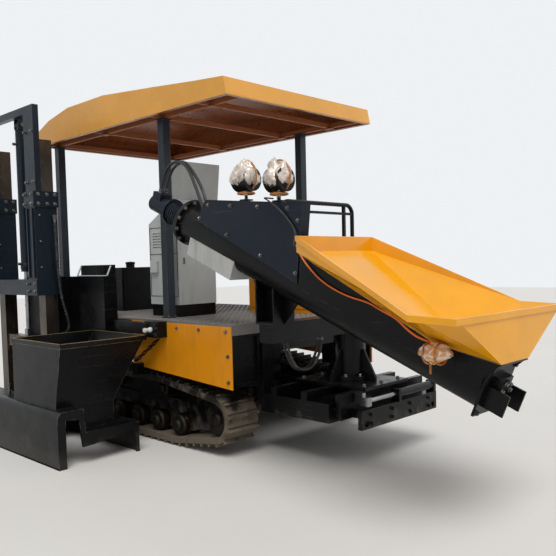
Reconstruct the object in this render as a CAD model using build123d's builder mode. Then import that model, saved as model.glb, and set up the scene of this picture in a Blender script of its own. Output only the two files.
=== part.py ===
from build123d import *
from math import cos, radians, sin
import os

os.makedirs("parts", exist_ok=True)

# Slipform paver on two steel tracks. +X is the way it drives, towards the feed hopper,
# +Y is its left side and +Z is up. Sizes in millimetres.
# "Right" is the side that carries the kerb mould.

# Datums
EDGE_X = 499.0  # front edge of the deck
MID_Y = 525.0  # centre line of the tracked body
GAP = 0.3  # seat clearance between pieces that only touch

# Body
BODY_LEN = 3050.0
BODY_W = 1866.0
DECK_Z = 1107.0  # top of the deck plate
DECK_T = 8.0
DECK_BOLTS = (-520.0, 520.0)  # centre of the accessory bolts
DECK_BOLT_X = 360.0
DECK_BOLT_Y = 340.0
DECK_BOLT_R = 11.0
RAIL_H = 87.0  # folded rail round the deck's edge
BEAM_W = 100.0  # main rails
BEAM_H = 200.0
BEAM_SPREAD = 860.0  # between the rails' centre lines

# Tracks
TRACK_W = 330.0
TRACK_LEN = 2800.0
TRACK_FRONT = -50.0  # from the deck's edge to the track's front
END_R = 222.0  # outside radius round idler and sprocket
END_Z = 302.0
CARRIER_Z = 480.0
CARRIER_R = 104.0
BAND_T = 34.0
SHOE_T = 14.0
SHOE_GAP = 12.0
SHOE_PITCH = 101.6
GROUSER_H = 26.0
GROUSER_T = 16.0
ROLLER_Z = 172.0
ROLLER_PITCH = 318.0
ROLLER_COUNT = 5
ROLLER_W = 104.0
AXLE_R = 26.0
WEB_T = 44.0  # centre plate of the track frame

# Canopy
ROOF_Z = 2915.0  # lower edge
ROOF_X0 = -3100.0
ROOF_X1 = 0.0
ROOF_T = 6.0
POST = 80.0
POST_PLATE = 12.0
# Post places: x from the deck's edge, y from the right side plane
POSTS = ((-1090.0, 205.0), (-3000.0, 205.0), (-810.0, 1745.0), (-3000.0, 1745.0))
RING_W = 30.0  # members under the roof sheet
RING_H = 45.0
RING_X = (-3000.0, -2045.0, -1090.0, -420.0)
EYE_R = 32.0

# Side panels
PANEL_T = 8.0
PANEL_TOP = 1092.0
FRONT_PANEL_L = 1390.0
FRONT_PANEL_LOW = (674.0, 582.0)  # rear and front lower corners
REAR_PANEL_X = (-3030.0, -2080.0)
REAR_PANEL_LOW = 690.0
SLOT_W = 34.0
SLOT_PITCH = 76.0

# Console
CONSOLE_X = (-1500.0, -1050.0)
CONSOLE_W = 743.0
PLINTH_H = 113.0
CONSOLE_Z = (1990.0, 2200.0)  # rear and front top corners
LID_Y = (255.0, 836.0)  # wider than the cabinet
LID_H = 340.0
LID_T = 26.0
LID_LEAN = 7.0  # degrees forwards when open
HINGE_R = 14.0  # the pin stands this far off both top faces
HINGE_BACK = 3.5
FLAT_TOP = 60.0  # level strip along the cabinet's high edge
WALL = 6.0

# Engine hood
HOOD_X = (-1010.0, -110.0)
HOOD_Y = (215.0, 760.0)  # from the centre line, towards the left
HOOD_H = 500.0

# Handrail
RAIL_TOP = 2140.0

# Front equipment
TRAY_X = (0.0, 703.0)
TRAY_Y = (330.0, 1540.0)  # from the right side plane
TRAY_Z = (360.0, 509.0)
TRAY_WALL = 14.0
BEAM_X = (850.0, 890.0)
BEAM_Y = (500.0, 1560.0)
BEAM_Z = (300.0, 450.0)
TIE_R = 25.0  # tie-down holes near the beam's ends
TIE_INSET = 60.0
TIE_Z = 340.0
CARRIAGE_X = (60.0, 820.0)
CARRIAGE_Y = (640.0, 1230.0)
CARRIAGE_Z = 600.0  # top of the sliding plate
CARRIAGE_T = 24.0
TURRET_X = 450.0
TURRET_Y = 930.0
TURRET_R = 125.0
HEAD_Z = 1000.0
ARM_H = 150.0
ARM_W = 140.0
SADDLE_L = 230.0  # half length of the saddle's web

# Screw conveyor
TUBE_R = 162.0
TUBE_WALL = 8.0
TUBE_SLOPE = 21.8  # degrees, the hopper end low
TUBE_REF = (108.0, 1706.0)  # a point on the tube's axis, from the deck's edge and the ground
CONV_Y = 30.0  # axis, from the right side plane
TUBE_BACK = -640.0  # along the axis from the reference point
TUBE_FRONT = 2250.0
TAIL_L = 134.0  # bracket plates beyond the end flange
SHAFT_R = 38.0
FLIGHT_R = 148.0
FLIGHT_PITCH = 260.0
FLIGHT_T = 9.0
INLET = (1930.0, 2200.0)  # openings in the tube, along its axis
OUTLET = (-450.0, 90.0)

# Lamps and feed hopper
LAMP_X = (300.0, 640.0)
LAMP_R = 88.0
LAMP_W = 150.0
FEED_T = 6.0  # hopper sheet
FEED_LIP = (8.0, 35.0)  # rim bar, thick and high
FEED_FOOT = 168.0  # half width where it meets the trough

# Mould side, from the right side plane outwards
MAST_Y = -370.0
MAST_X = (-3184.0, -2284.0)  # the two guide columns
COLUMN = 130.0  # guide column, square
COLUMN_WALL = 12.0
COLUMN_TOP = 2830.0
SLEEVE_WALL = 20.0
SLEEVE_BACK = 150.0  # the sleeve's outer part carries the post
SLEEVE_Z = (1330.0, 2330.0)
COLLAR_T = 12.0
COLLAR_H = 150.0
SLIDE_GAP = 0.5
FLANGE_H = 150.0
MAST_POST_X = (-110.0, 90.0)  # from the guide column
MAST_POST_Y = (-130.0, -70.0)
MAST_TOP = 3150.0
MAST_BEAM_H = 70.0
LATERAL_X = (-2900.0, -2420.0)
LATERAL_Z = (700.0, 800.0)
LATERAL_WALL = 8.0
MAST_BOX_X = (-3000.0, -2300.0)
MAST_BOX_Y = (-270.0, -30.0)
MAST_BOX_Z = (670.0, 1500.0)
MOULD_X = (-3340.0, -900.0)
MOULD_Y = (-1050.0, -300.0)
MOULD_T = 14.0
MOULD_ROUND = 60.0
KERB_W = 230.0
KERB_Z = 458.0
SHELF_Z = 263.0
RIM_X = (-1830.0, -975.0)
RIM_Y = (-960.0, -150.0)
RIM_Z = 985.0
HOPPER_T = 8.0
VALVE_X = (-2285.0, -1640.0)
VALVE_Y = (-140.0, -GAP)
VALVE_Z = (950.0, 1500.0)
LINK_PITCH = 46.0
LINK_W = 36.0
LINK_T = 9.0

X0 = EDGE_X
RIGHT = MID_Y - BODY_W / 2  # the right side plane
LEFT = MID_Y + BODY_W / 2


def slab(x, y, z, mode=Mode.ADD):
    """A block between two ends on each axis."""
    middle = ((x[0] + x[1]) / 2, (y[0] + y[1]) / 2, (z[0] + z[1]) / 2)
    with Locations(middle):
        Box(abs(x[1] - x[0]), abs(y[1] - y[0]), abs(z[1] - z[0]), mode=mode)


def save(builder, name):
    """Label a finished sub-part and write it."""
    builder.part.label = name
    export_step(builder.part, f"parts/{name}.step")


def from_edge(*values):
    """Stations measured from the deck's front edge, in the model's own X."""
    return tuple(X0 + v for v in values)


def from_side(*values):
    """Stations measured from the right side plane, in the model's own Y."""
    return tuple(RIGHT + v for v in values)


# Tracks: one closed loop on each side, its shoes and grousers in its outline
track_x1 = X0 + TRACK_FRONT
track_x0 = track_x1 - TRACK_LEN
shoe_depth = SHOE_T + GROUSER_H
idler_x = track_x1 - END_R
sprocket_x = track_x0 + END_R
middle_x = (track_x0 + track_x1) / 2
rollers_x = [middle_x + ROLLER_PITCH * (i - (ROLLER_COUNT - 1) / 2) for i in range(ROLLER_COUNT)]
carriers_x = [middle_x - 420, middle_x + 420]
track_y = (RIGHT + TRACK_W / 2, LEFT - TRACK_W / 2)


def loop_outline(inset):
    """The track's loop as the hull of its wheels, drawn inside the shoes by an inset."""
    with BuildSketch() as outline:
        for x in (idler_x, sprocket_x):
            with Locations((x, END_Z)):
                Circle(END_R - inset)
        for x in carriers_x:
            with Locations((x, CARRIER_Z)):
                Circle(CARRIER_R - inset + shoe_depth)
        for x in (rollers_x[0], rollers_x[-1]):
            with Locations((x, ROLLER_Z)):
                Circle(ROLLER_Z - inset)
        make_hull()
    return outline.sketch


band_outer = loop_outline(shoe_depth)
band_inner = loop_outline(shoe_depth + BAND_T)
shoe_path = band_outer.faces()[0].outer_wire()
shoe_count = round(shoe_path.length / SHOE_PITCH)
shoe_len = shoe_path.length / shoe_count - SHOE_GAP

# One shoe's outline: along the belt, out of the belt
shoe_outline = [(-shoe_len / 2, 0), (-shoe_len / 2, SHOE_T), (shoe_len / 2 - GROUSER_T, SHOE_T),
                (shoe_len / 2 - GROUSER_T, shoe_depth), (shoe_len / 2, shoe_depth), (shoe_len / 2, 0)]
loop_middle = Vector(middle_x, (END_Z + ROLLER_Z) / 2)
loop_points = []
for i in range(shoe_count):
    seat = shoe_path.position_at((i + 0.5) / shoe_count)
    tangent = shoe_path.tangent_at((i + 0.5) / shoe_count)
    outward = Vector(-tangent.Y, tangent.X)
    if outward.dot(seat - loop_middle) < 0:
        outward = -outward
    loop_points += [seat + tangent * along + outward * out for along, out in shoe_outline]

with BuildPart() as track:
    with BuildSketch(Plane.XZ):
        with BuildLine():
            Polyline(*[(p.X, max(p.Y, 0.0)) for p in loop_points], close=True)
        make_face()
        add(band_inner, mode=Mode.SUBTRACT)
    extrude(amount=TRACK_W / 2, both=True)

for side, y in zip(("right", "left"), track_y):
    with BuildPart() as track_here:
        with Locations((0, y, 0)):
            add(track.part)
    save(track_here, f"track_{side}")

# Wheels inside the loop: rollers below, two carriers above, idler in front, sprocket behind
roller_r = ROLLER_Z - shoe_depth - BAND_T - GAP
end_wheel_r = END_R - shoe_depth - BAND_T - GAP
carrier_wheel_r = CARRIER_R - BAND_T - GAP
# x, z, radius
wheels = [(x, ROLLER_Z, roller_r) for x in rollers_x]
wheels += [(x, END_Z, end_wheel_r) for x in (idler_x, sprocket_x)]
wheels += [(x, CARRIER_Z, carrier_wheel_r) for x in carriers_x]

for side, y in zip(("right", "left"), track_y):
    with BuildPart() as rollers:
        for x, z, radius in wheels:
            rim = radius - 14
            hub = min(54.0, radius * 0.62)
            inner = WEB_T / 2 + 4
            outer = inner + ROLLER_W
            with BuildSketch(Plane((x, y, z), x_dir=(1, 0, 0), z_dir=(0, 0, 1))):
                with BuildLine():
                    Polyline((0, -outer - 12), (hub * 0.7, -outer - 12), (hub, -outer + 4),
                             (hub, -outer + 16), (rim, -outer + 16), (radius, -outer + 30),
                             (radius, -inner), (AXLE_R, -inner), (AXLE_R, inner),
                             (radius, inner), (radius, outer - 30), (rim, outer - 16),
                             (hub, outer - 16), (hub, outer - 4), (hub * 0.7, outer + 12),
                             (0, outer + 12), close=True)
                make_face()
            revolve(axis=Axis((x, y, z), (0, 1, 0)))
    save(rollers, f"rollers_{side}")

# Track frames: a box beam over the rollers, its centre plate down to every axle
frame_z = (ROLLER_Z + 112, 400.0)
frame_x = (sprocket_x + 40, idler_x - 40)
frame_w = 190.0
for side, y, inward in (("right", track_y[0], 1), ("left", track_y[1], -1)):
    with BuildPart() as track_frame:
        slab((rollers_x[0] - 40, rollers_x[-1] + 40), (y - frame_w / 2, y + frame_w / 2), frame_z)
        with BuildSketch(Plane.XZ.offset(-(y + WEB_T / 2))):
            with BuildLine():
                Polyline((sprocket_x - 60, END_Z - 50), (rollers_x[0] - 70, ROLLER_Z - 60),
                         (rollers_x[-1] + 70, ROLLER_Z - 60), (idler_x + 60, END_Z - 50),
                         (idler_x + 60, END_Z + 50), (carriers_x[1] + 60, CARRIER_Z + 50),
                         (carriers_x[0] - 60, CARRIER_Z + 50), (sprocket_x - 60, END_Z + 50),
                         close=True)
            make_face()
            with Locations([(x, z) for x, z, _ in wheels]):
                Circle(AXLE_R + GAP, mode=Mode.SUBTRACT)
        extrude(amount=WEB_T)
        for x in (rollers_x[0] + 120, rollers_x[-1] - 120):
            reach = BODY_W / 2 - TRACK_W / 2 - BEAM_SPREAD / 2 - BEAM_W / 2
            start = y + inward * (frame_w / 2 - 10)
            slab((x - 70, x + 70), (start, y + inward * reach), (frame_z[0] + 20, frame_z[1] - 16))
    save(track_frame, f"track_frame_{side}")

# Main frame: two box rails, cross members, legs down to the track frames, front end plates
beam_z = (DECK_Z - RAIL_H - BEAM_H, DECK_Z - RAIL_H)
frame_x0, frame_x1 = X0 - BODY_LEN, X0
inner_y = BEAM_SPREAD / 2 - BEAM_W / 2
leg_top = beam_z[0]
leg_low = frame_z[0] + 20
track_inner = BODY_W / 2 - TRACK_W
with BuildPart() as main_frame:
    for turn in (-1, 1):
        y = MID_Y + turn * BEAM_SPREAD / 2
        slab((frame_x0, frame_x1 - 8), (y - BEAM_W / 2, y + BEAM_W / 2), beam_z)
        for x in (rollers_x[0] + 120, rollers_x[-1] - 120):
            slab((x - 80, x + 80), (y - BEAM_W / 2, y + BEAM_W / 2), (leg_low, leg_top))
    for x in (frame_x0 + 60, middle_x - 420, middle_x + 420, frame_x1 - 78):
        slab((x - 50, x + 50), (MID_Y - inner_y, MID_Y + inner_y), (beam_z[0] + 20, beam_z[1]))
    for x in (frame_x0 + 60, middle_x, frame_x1 - 500):
        for low, high in ((RIGHT + 30, MID_Y - inner_y - BEAM_W), (MID_Y + inner_y + BEAM_W, LEFT - 30)):
            slab((x - 30, x + 30), (low, high), (beam_z[1] - 80, beam_z[1]))
    # Front end: a channel on each side and a sill that carries the tray
    for y in (MID_Y - BODY_W / 2 + 390, MID_Y + BODY_W / 2 - 390):
        slab((frame_x1 - 78, frame_x1), (y - 60, y + 60), (TRAY_Z[0], beam_z[1]))
    slab((frame_x1 - 78, frame_x1), (RIGHT + 330, LEFT - 330), (TRAY_Z[0], TRAY_Z[0] + 110))
save(main_frame, "main_frame")

# Deck: a plate with folded edges and a row of drain and bolt holes
with BuildPart() as deck_plate:
    slab((frame_x0, frame_x1), (RIGHT, LEFT), (DECK_Z - DECK_T, DECK_Z))
    for x in (frame_x0, frame_x1 - DECK_T):
        slab((x, x + DECK_T), (RIGHT, LEFT), (DECK_Z - RAIL_H, DECK_Z))
    for y in (RIGHT, LEFT - DECK_T):
        slab((frame_x0, frame_x1), (y, y + DECK_T), (DECK_Z - 16, DECK_Z))
    with Locations((X0 + DECK_BOLTS[0], RIGHT + DECK_BOLTS[1], DECK_Z - DECK_T / 2)):
        with GridLocations(DECK_BOLT_X, DECK_BOLT_Y, 2, 2):
            Cylinder(DECK_BOLT_R, DECK_T * 2, mode=Mode.SUBTRACT)
save(deck_plate, "deck_plate")

# Sheet panels on both sides, over the tracks; the rear ones are slotted for the radiator's air
low_rear, low_front = FRONT_PANEL_LOW
panel_x1 = X0 - 15
for side, face in (("right", RIGHT), ("left", LEFT - PANEL_T)):
    with BuildPart() as front_panel:
        with BuildSketch(Plane.XZ.offset(-(face + PANEL_T))):
            with BuildLine():
                Polyline((panel_x1 - FRONT_PANEL_L, low_rear), (panel_x1, low_front),
                         (panel_x1, PANEL_TOP - 1), (panel_x1 - FRONT_PANEL_L, PANEL_TOP - 1), close=True)
            make_face()
        extrude(amount=PANEL_T)
        inner_face = face + PANEL_T if side == "right" else face
        inward = 30 if side == "right" else -30
        for x in (panel_x1 - FRONT_PANEL_L + 20, panel_x1 - 600):
            slab((x - 5, x + 5), (inner_face, inner_face + inward), (low_rear + 20, PANEL_TOP - 30))
    save(front_panel, f"front_panel_{side}")

    with BuildPart() as rear_panel:
        x0, x1 = from_edge(*REAR_PANEL_X)
        slab((x0, x1), (face, face + PANEL_T), (REAR_PANEL_LOW, PANEL_TOP - 1))
        for x in from_edge(*LATERAL_X):
            slab((x - 60, x + 60), (face - 1, face + PANEL_T + 1), (LATERAL_Z[0] - 11, LATERAL_Z[1] + 8),
                 mode=Mode.SUBTRACT)
        slots = int((x1 - x0 - 120) / SLOT_PITCH)
        first = (x0 + x1) / 2 - SLOT_PITCH * (slots - 1) / 2
        for i in range(slots):
            x = first + i * SLOT_PITCH
            slab((x - SLOT_W / 2, x + SLOT_W / 2), (face - 1, face + PANEL_T + 1),
                 (LATERAL_Z[1] + 40, PANEL_TOP - 50), mode=Mode.SUBTRACT)
    save(rear_panel, f"rear_panel_{side}")

# Dark storage boxes in the deck's front corners
for side, low in (("right", RIGHT + PANEL_T + GAP), ("left", LEFT - PANEL_T - GAP - 310)):
    with BuildPart() as front_box:
        slab((X0 - 400, X0 - 24), (low, low + 310), (590, DECK_Z - RAIL_H - GAP))
        slab((X0 - 60, X0 - 24), (low + 20, low + 290), (620, 1000), mode=Mode.SUBTRACT)
        slab((X0 - 60, X0 - 52), (low + 20, low + 290), (620, 1000))
    save(front_box, f"front_box_{side}")

# Canopy: one folded sheet, open below, its crown as in the side fascia
# x from the deck's edge, z from the ground
crown = [(0, ROOF_Z), (-30, 3057), (-370, 3087), (-990, 3150), (-1762, 3224), (-2432, 3222),
         (-2838, 3153), (-2944, 3116), (ROOF_X0, 3060), (ROOF_X0, ROOF_Z)]
with BuildPart() as canopy_roof:
    for inset, mode in ((0, Mode.ADD), (ROOF_T, Mode.SUBTRACT)):
        with BuildSketch(Plane.XZ.offset(-(LEFT - inset))):
            with BuildLine():
                Polyline(*[(X0 + x, z) for x, z in crown], close=True)
            make_face()
            if inset:
                offset(amount=-inset, kind=Kind.INTERSECTION)
        extrude(amount=BODY_W - 2 * inset, mode=mode)
    slab((X0 + ROOF_X0 + 40, X0 - 40), (RIGHT + 40, LEFT - 40), (ROOF_Z - 1, ROOF_Z + ROOF_T + 1),
         mode=Mode.SUBTRACT)
save(canopy_roof, "canopy_roof")

# Canopy frame: a ring, two long members over the posts and cross members under the sheet
ring_x = (X0 + ROOF_X0 + ROOF_T + GAP, X0 - ROOF_T - GAP - 20)
ring_y = (RIGHT + ROOF_T + GAP, LEFT - ROOF_T - GAP)
ring_z = (ROOF_Z + ROOF_T + GAP, ROOF_Z + ROOF_T + GAP + RING_H)
post_top = ring_z[0] - GAP
with BuildPart() as canopy_frame:
    slab(ring_x, ring_y, ring_z)
    slab((ring_x[0] + RING_W, ring_x[1] - RING_W), (ring_y[0] + RING_W, ring_y[1] - RING_W), ring_z,
         mode=Mode.SUBTRACT)
    for _, y in POSTS[1:3]:
        slab(ring_x, (RIGHT + y - RING_W / 2, RIGHT + y + RING_W / 2), ring_z)
    for x in RING_X:
        slab((X0 + x - RING_W / 2, X0 + x + RING_W / 2), ring_y, ring_z)
save(canopy_frame, "canopy_frame")

# Lifting eyes on the crown
with BuildPart() as lifting_eyes:
    for x, seat in ((-580, 3110.1), (-2840, 3155.4)):
        for y in (MID_Y - 500, MID_Y + 500):
            with Locations(Location((X0 + x, y, seat + EYE_R + 8), (90, 0, 0))):
                Torus(EYE_R, 7)
            slab((X0 + x - 14, X0 + x + 14), (y - 6, y + 6), (seat, seat + 12))
save(lifting_eyes, "lifting_eyes")

# Canopy posts: square tubes on foot plates
post_foot = 50.0
with BuildPart() as canopy_posts:
    for x, y in POSTS:
        post_x, post_y = X0 + x, RIGHT + y
        slab((post_x - POST / 2, post_x + POST / 2), (post_y - POST / 2, post_y + POST / 2), (DECK_Z, post_top))
        for z in (DECK_Z, post_top - POST_PLATE):
            slab((post_x - post_foot, post_x + post_foot), (post_y - post_foot, post_y + post_foot),
                 (z, z + POST_PLATE))
save(canopy_posts, "canopy_posts")

# Console: plinth, cabinet with a sloping top, and a raised lid hinged on its high edge
con_x = from_edge(*CONSOLE_X)
con_y = (RIGHT + 295, RIGHT + CONSOLE_W)
with BuildPart() as console_plinth:
    slab((con_x[0] + 10, con_x[1] - 6), (con_y[0] + 10, con_y[1] - 6), (DECK_Z, DECK_Z + PLINTH_H))
save(console_plinth, "console_plinth")

cab_low = DECK_Z + PLINTH_H
with BuildPart() as console_cabinet:
    with BuildSketch(Plane.XZ.offset(-con_y[1])):
        with BuildLine():
            Polyline((con_x[0], cab_low), (con_x[1], cab_low), (con_x[1], CONSOLE_Z[1]),
                     (con_x[1] - FLAT_TOP, CONSOLE_Z[1]), (con_x[0], CONSOLE_Z[0]), close=True)
        make_face()
    extrude(amount=con_y[1] - con_y[0])
    for i in range(6):
        z = 1760 + i * 26
        slab((con_x[0] + 60, con_x[0] + 260), (con_y[0] - 1, con_y[0] + 10), (z, z + 10), mode=Mode.SUBTRACT)
save(console_cabinet, "console_cabinet")

lid_hinge = (con_x[1] - FLAT_TOP - HINGE_BACK, CONSOLE_Z[1] + HINGE_R)
lid_y = from_side(*LID_Y)
with BuildPart() as console_lid:
    with BuildSketch(Plane.XZ.offset(-lid_y[1])):
        with Locations(Location((lid_hinge[0], lid_hinge[1], 0), (0, 0, -LID_LEAN))):
            with Locations((0, LID_H / 2 + 4)):
                Rectangle(LID_T, LID_H)
        with Locations(lid_hinge):
            Circle(HINGE_R - GAP)
    extrude(amount=lid_y[1] - lid_y[0])
save(console_lid, "console_lid")

# Engine hood: slotted sheet round the engine, open below
hood_x = from_edge(*HOOD_X)
hood_y = (MID_Y + HOOD_Y[0], MID_Y + HOOD_Y[1])
hood_z = (DECK_Z, DECK_Z + HOOD_H)
with BuildPart() as engine_hood:
    slab(hood_x, hood_y, hood_z)
    slab((hood_x[0] + WALL, hood_x[1] - WALL), (hood_y[0] + WALL, hood_y[1] - WALL),
         (hood_z[0] - 1, hood_z[1] - WALL), mode=Mode.SUBTRACT)
    for i in range(9):
        x = hood_x[0] + 110 + i * SLOT_PITCH
        for y in (hood_y[0], hood_y[1] - WALL):
            slab((x - 10, x + 10), (y - 1, y + WALL + 1), (hood_z[0] + 110, hood_z[1] - 110),
                 mode=Mode.SUBTRACT)
save(engine_hood, "engine_hood")

with BuildPart() as engine:
    slab((hood_x[0] + 80, hood_x[1] - 160), (hood_y[0] + 60, hood_y[1] - 60), (DECK_Z, hood_z[1] - 60))
save(engine, "engine")

# Hydraulic tank across the rear of the deck
with BuildPart() as hydraulic_tank:
    slab((X0 - 2700, X0 - 2300), (MID_Y - 420, MID_Y + 420), (DECK_Z, DECK_Z + 470))
    fillet(hydraulic_tank.edges().filter_by(Axis.Z), radius=40)
    with Locations((X0 - 2500, MID_Y - 200, DECK_Z + 470 + 18)):
        Cylinder(48, 36)
save(hydraulic_tank, "hydraulic_tank")

# Handrail across the deck's front edge
rail_r = 20.0
rail_x = X0 - 190
rail_y = (RIGHT + 790, LEFT - 66)
with BuildPart() as handrail:
    with BuildLine():
        FilletPolyline((rail_x, rail_y[0], DECK_Z), (rail_x, rail_y[0], RAIL_TOP), (rail_x, rail_y[1], RAIL_TOP),
                       (rail_x, rail_y[1], DECK_Z), radius=90)
    with BuildSketch(Plane.XY.offset(DECK_Z)):
        with Locations((rail_x, rail_y[0])):
            Circle(rail_r)
    sweep()
    for z in (1640, 2055):
        slab((rail_x - 12, rail_x + 12), rail_y, (z - 12, z + 12))
    slab((rail_x - 14, rail_x + 14), (rail_y[1] - 144, rail_y[1] - 116),
         (hood_z[1] + GAP, RAIL_TOP))
    for y in rail_y:
        with Locations((rail_x, y, DECK_Z + 5)):
            Cylinder(48, 10)
save(handrail, "handrail")

# Front equipment: an open tray bolted to the end plates, a front beam on two arms
tray_x, tray_y = from_edge(*TRAY_X), from_side(*TRAY_Y)
with BuildPart() as front_tray:
    slab((tray_x[0] + GAP, tray_x[1]), tray_y, TRAY_Z)
    slab((tray_x[0] + TRAY_WALL, tray_x[1] - TRAY_WALL), (tray_y[0] + TRAY_WALL, tray_y[1] - TRAY_WALL),
         (TRAY_Z[0] + TRAY_WALL, TRAY_Z[1] + 1), mode=Mode.SUBTRACT)
save(front_tray, "front_tray")

slide_z = CARRIAGE_Z - CARRIAGE_T - GAP
bar_h = slide_z - TRAY_Z[1] - GAP
front_x = from_edge(*BEAM_X)
front_y = from_side(*BEAM_Y)
tie_y = (front_y[0] + TIE_INSET, front_y[1] - TIE_INSET)
with BuildPart() as front_beam:
    slab(front_x, front_y, BEAM_Z)
    slab((front_x[0] - 90, front_x[0]), (front_y[0] + 40, front_y[1] - 20), (BEAM_Z[1] - 70, BEAM_Z[1]))
    for y in (front_y[0] + 90, (front_y[0] + front_y[1]) / 2, front_y[1] - 90):
        slab((tray_x[1] + GAP, front_x[0] - 80), (y - 40, y + 40), (TRAY_Z[0] + 20, BEAM_Z[1]))
    slab((front_x[0] - 130, front_x[0] - 80), (tray_y[0] + 60, tray_y[1] - 10), (BEAM_Z[1] - 70, slide_z))
    with Locations([Location((front_x[0] - 1, y, TIE_Z), (0, 90, 0)) for y in tie_y]):
        Cylinder(TIE_R, BEAM_X[1] - BEAM_X[0] + 2, align=(Align.CENTER, Align.CENTER, Align.MIN),
                 mode=Mode.SUBTRACT)
save(front_beam, "front_beam")

with BuildPart() as slide_rails:
    for x in (tray_x[0] + 90, tray_x[0] + 420):
        slab((x, x + 60), (tray_y[0] + GAP, tray_y[1] - GAP), (TRAY_Z[1] + GAP, slide_z))
save(slide_rails, "slide_rails")

# Cross slide: the plate that runs sideways on the rails, its gussets and the turret's column
carriage_x, carriage_y = from_edge(*CARRIAGE_X), from_side(*CARRIAGE_Y)
turret_x, turret_y = X0 + TURRET_X, RIGHT + TURRET_Y
with BuildPart() as carriage:
    slab(carriage_x, carriage_y, (CARRIAGE_Z - CARRIAGE_T, CARRIAGE_Z))
    with Locations((turret_x, turret_y, (CARRIAGE_Z + HEAD_Z) / 2)):
        Cylinder(TURRET_R, HEAD_Z - CARRIAGE_Z)
    with Locations((turret_x, turret_y, CARRIAGE_Z + 20)):
        Cylinder(TURRET_R + 50, 40)
    for turn in (0, 90, 180, 270):
        with BuildSketch(Plane(origin=(turret_x, turret_y, CARRIAGE_Z - 1),
                               x_dir=Vector(1, 0, 0).rotate(Axis.Z, turn),
                               z_dir=Vector(0, 1, 0).rotate(Axis.Z, turn))):
            with BuildLine():
                Polyline((0, 0), (0, -260), (TURRET_R + 20, -260), (260, -40), (260, 0), close=True)
            make_face()
        extrude(amount=10, both=True)
save(carriage, "carriage")

# Shift cylinder: barrel on the front beam's end, its rod to the carriage
shift_z = BEAM_Z[1] + 62
shift_x = (front_x[0] + front_x[1]) / 2 + 4
with BuildPart() as shift_barrel:
    with BuildSketch(Plane.XZ.offset(-(front_y[1] - 40))):
        with Locations((shift_x, shift_z)):
            Circle(36)
    extrude(amount=560)
    for y in (front_y[1] - 60, front_y[1] - 580):
        slab((shift_x - 40, shift_x + 40), (y - 16, y + 16), (BEAM_Z[1] + GAP, shift_z + 40))
    with BuildSketch(Plane.XZ.offset(-(front_y[1] - 39))):
        with Locations((shift_x, shift_z)):
            Circle(19)
    extrude(amount=570, mode=Mode.SUBTRACT)
save(shift_barrel, "shift_barrel")

with BuildPart() as shift_rod:
    with BuildSketch(Plane.XZ.offset(-(front_y[1] - 100))):
        with Locations((shift_x, shift_z)):
            Circle(19 - GAP)
    extrude(amount=front_y[1] - 100 - (carriage_y[0] - 60))
    slab((shift_x - 34, shift_x + 34), (carriage_y[0] - 90, carriage_y[0] - 40), (shift_z - 34, shift_z + 34))
    slab((carriage_x[1] - 30, shift_x - 20), (carriage_y[0] - 84, carriage_y[0] - 46),
         (shift_z - 20, CARRIAGE_Z - CARRIAGE_T - GAP))
save(shift_rod, "shift_rod")

# Screw conveyor: everything on it is placed along its axis
slope = radians(TUBE_SLOPE)
conv_y = RIGHT + CONV_Y
axis_start = Vector(X0 + TUBE_REF[0], conv_y, TUBE_REF[1])
axis_dir = Vector(cos(slope), 0, -sin(slope))
axis_up = Vector(sin(slope), 0, cos(slope))


def on_axis(along, up=0.0):
    """A point beside the tube's axis."""
    return axis_start + axis_dir * along + axis_up * up


def across(along):
    """The plane square to the tube; its X points up, away from the tube."""
    return Plane(origin=on_axis(along), x_dir=axis_up, z_dir=axis_dir)


with BuildPart() as conveyor_tube:
    with BuildSketch(across(TUBE_BACK)):
        Circle(TUBE_R)
    extrude(amount=TUBE_FRONT - TUBE_BACK)
    with BuildSketch(across(TUBE_BACK)):
        Circle(TUBE_R + 30)
    extrude(amount=18)
    with BuildSketch(across(TUBE_BACK + 14)):
        Circle(TUBE_R - TUBE_WALL)
    extrude(amount=TUBE_FRONT - TUBE_BACK - 28, mode=Mode.SUBTRACT)
    with BuildSketch(across(TUBE_BACK - 1)):
        Circle(SHAFT_R + GAP)
    extrude(amount=TUBE_FRONT - TUBE_BACK + 2, mode=Mode.SUBTRACT)
    with BuildSketch(across(INLET[0])):
        with Locations((TUBE_R, 0)):
            Rectangle(TUBE_R, 1.5 * TUBE_R)
    extrude(amount=INLET[1] - INLET[0], mode=Mode.SUBTRACT)
    with BuildSketch(across(OUTLET[0])):
        with Locations((-TUBE_R, 0)):
            Rectangle(TUBE_R, 1.5 * TUBE_R)
    extrude(amount=OUTLET[1] - OUTLET[0], mode=Mode.SUBTRACT)
save(conveyor_tube, "conveyor_tube")

# Discharge chute: a square spout welded under the tube
spout_w, spout_drop, spout_t = 300.0, 215.0, 6.0
with BuildPart() as discharge_chute:
    with BuildSketch(across(OUTLET[0] - 10)):
        with Locations((-spout_drop / 2, 0)):
            Rectangle(spout_drop, spout_w)
    extrude(amount=OUTLET[1] - OUTLET[0] + 20)
    with BuildSketch(across(OUTLET[0] - 10 + spout_t)):
        with Locations((-spout_drop / 2, 0)):
            Rectangle(spout_drop + 2, spout_w - 2 * spout_t)
    extrude(amount=OUTLET[1] - OUTLET[0] + 20 - 2 * spout_t, mode=Mode.SUBTRACT)
    with BuildSketch(across(OUTLET[0] - 11)):
        Circle(TUBE_R + GAP)
    extrude(amount=OUTLET[1] - OUTLET[0] + 22, mode=Mode.SUBTRACT)
save(discharge_chute, "discharge_chute")

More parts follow.
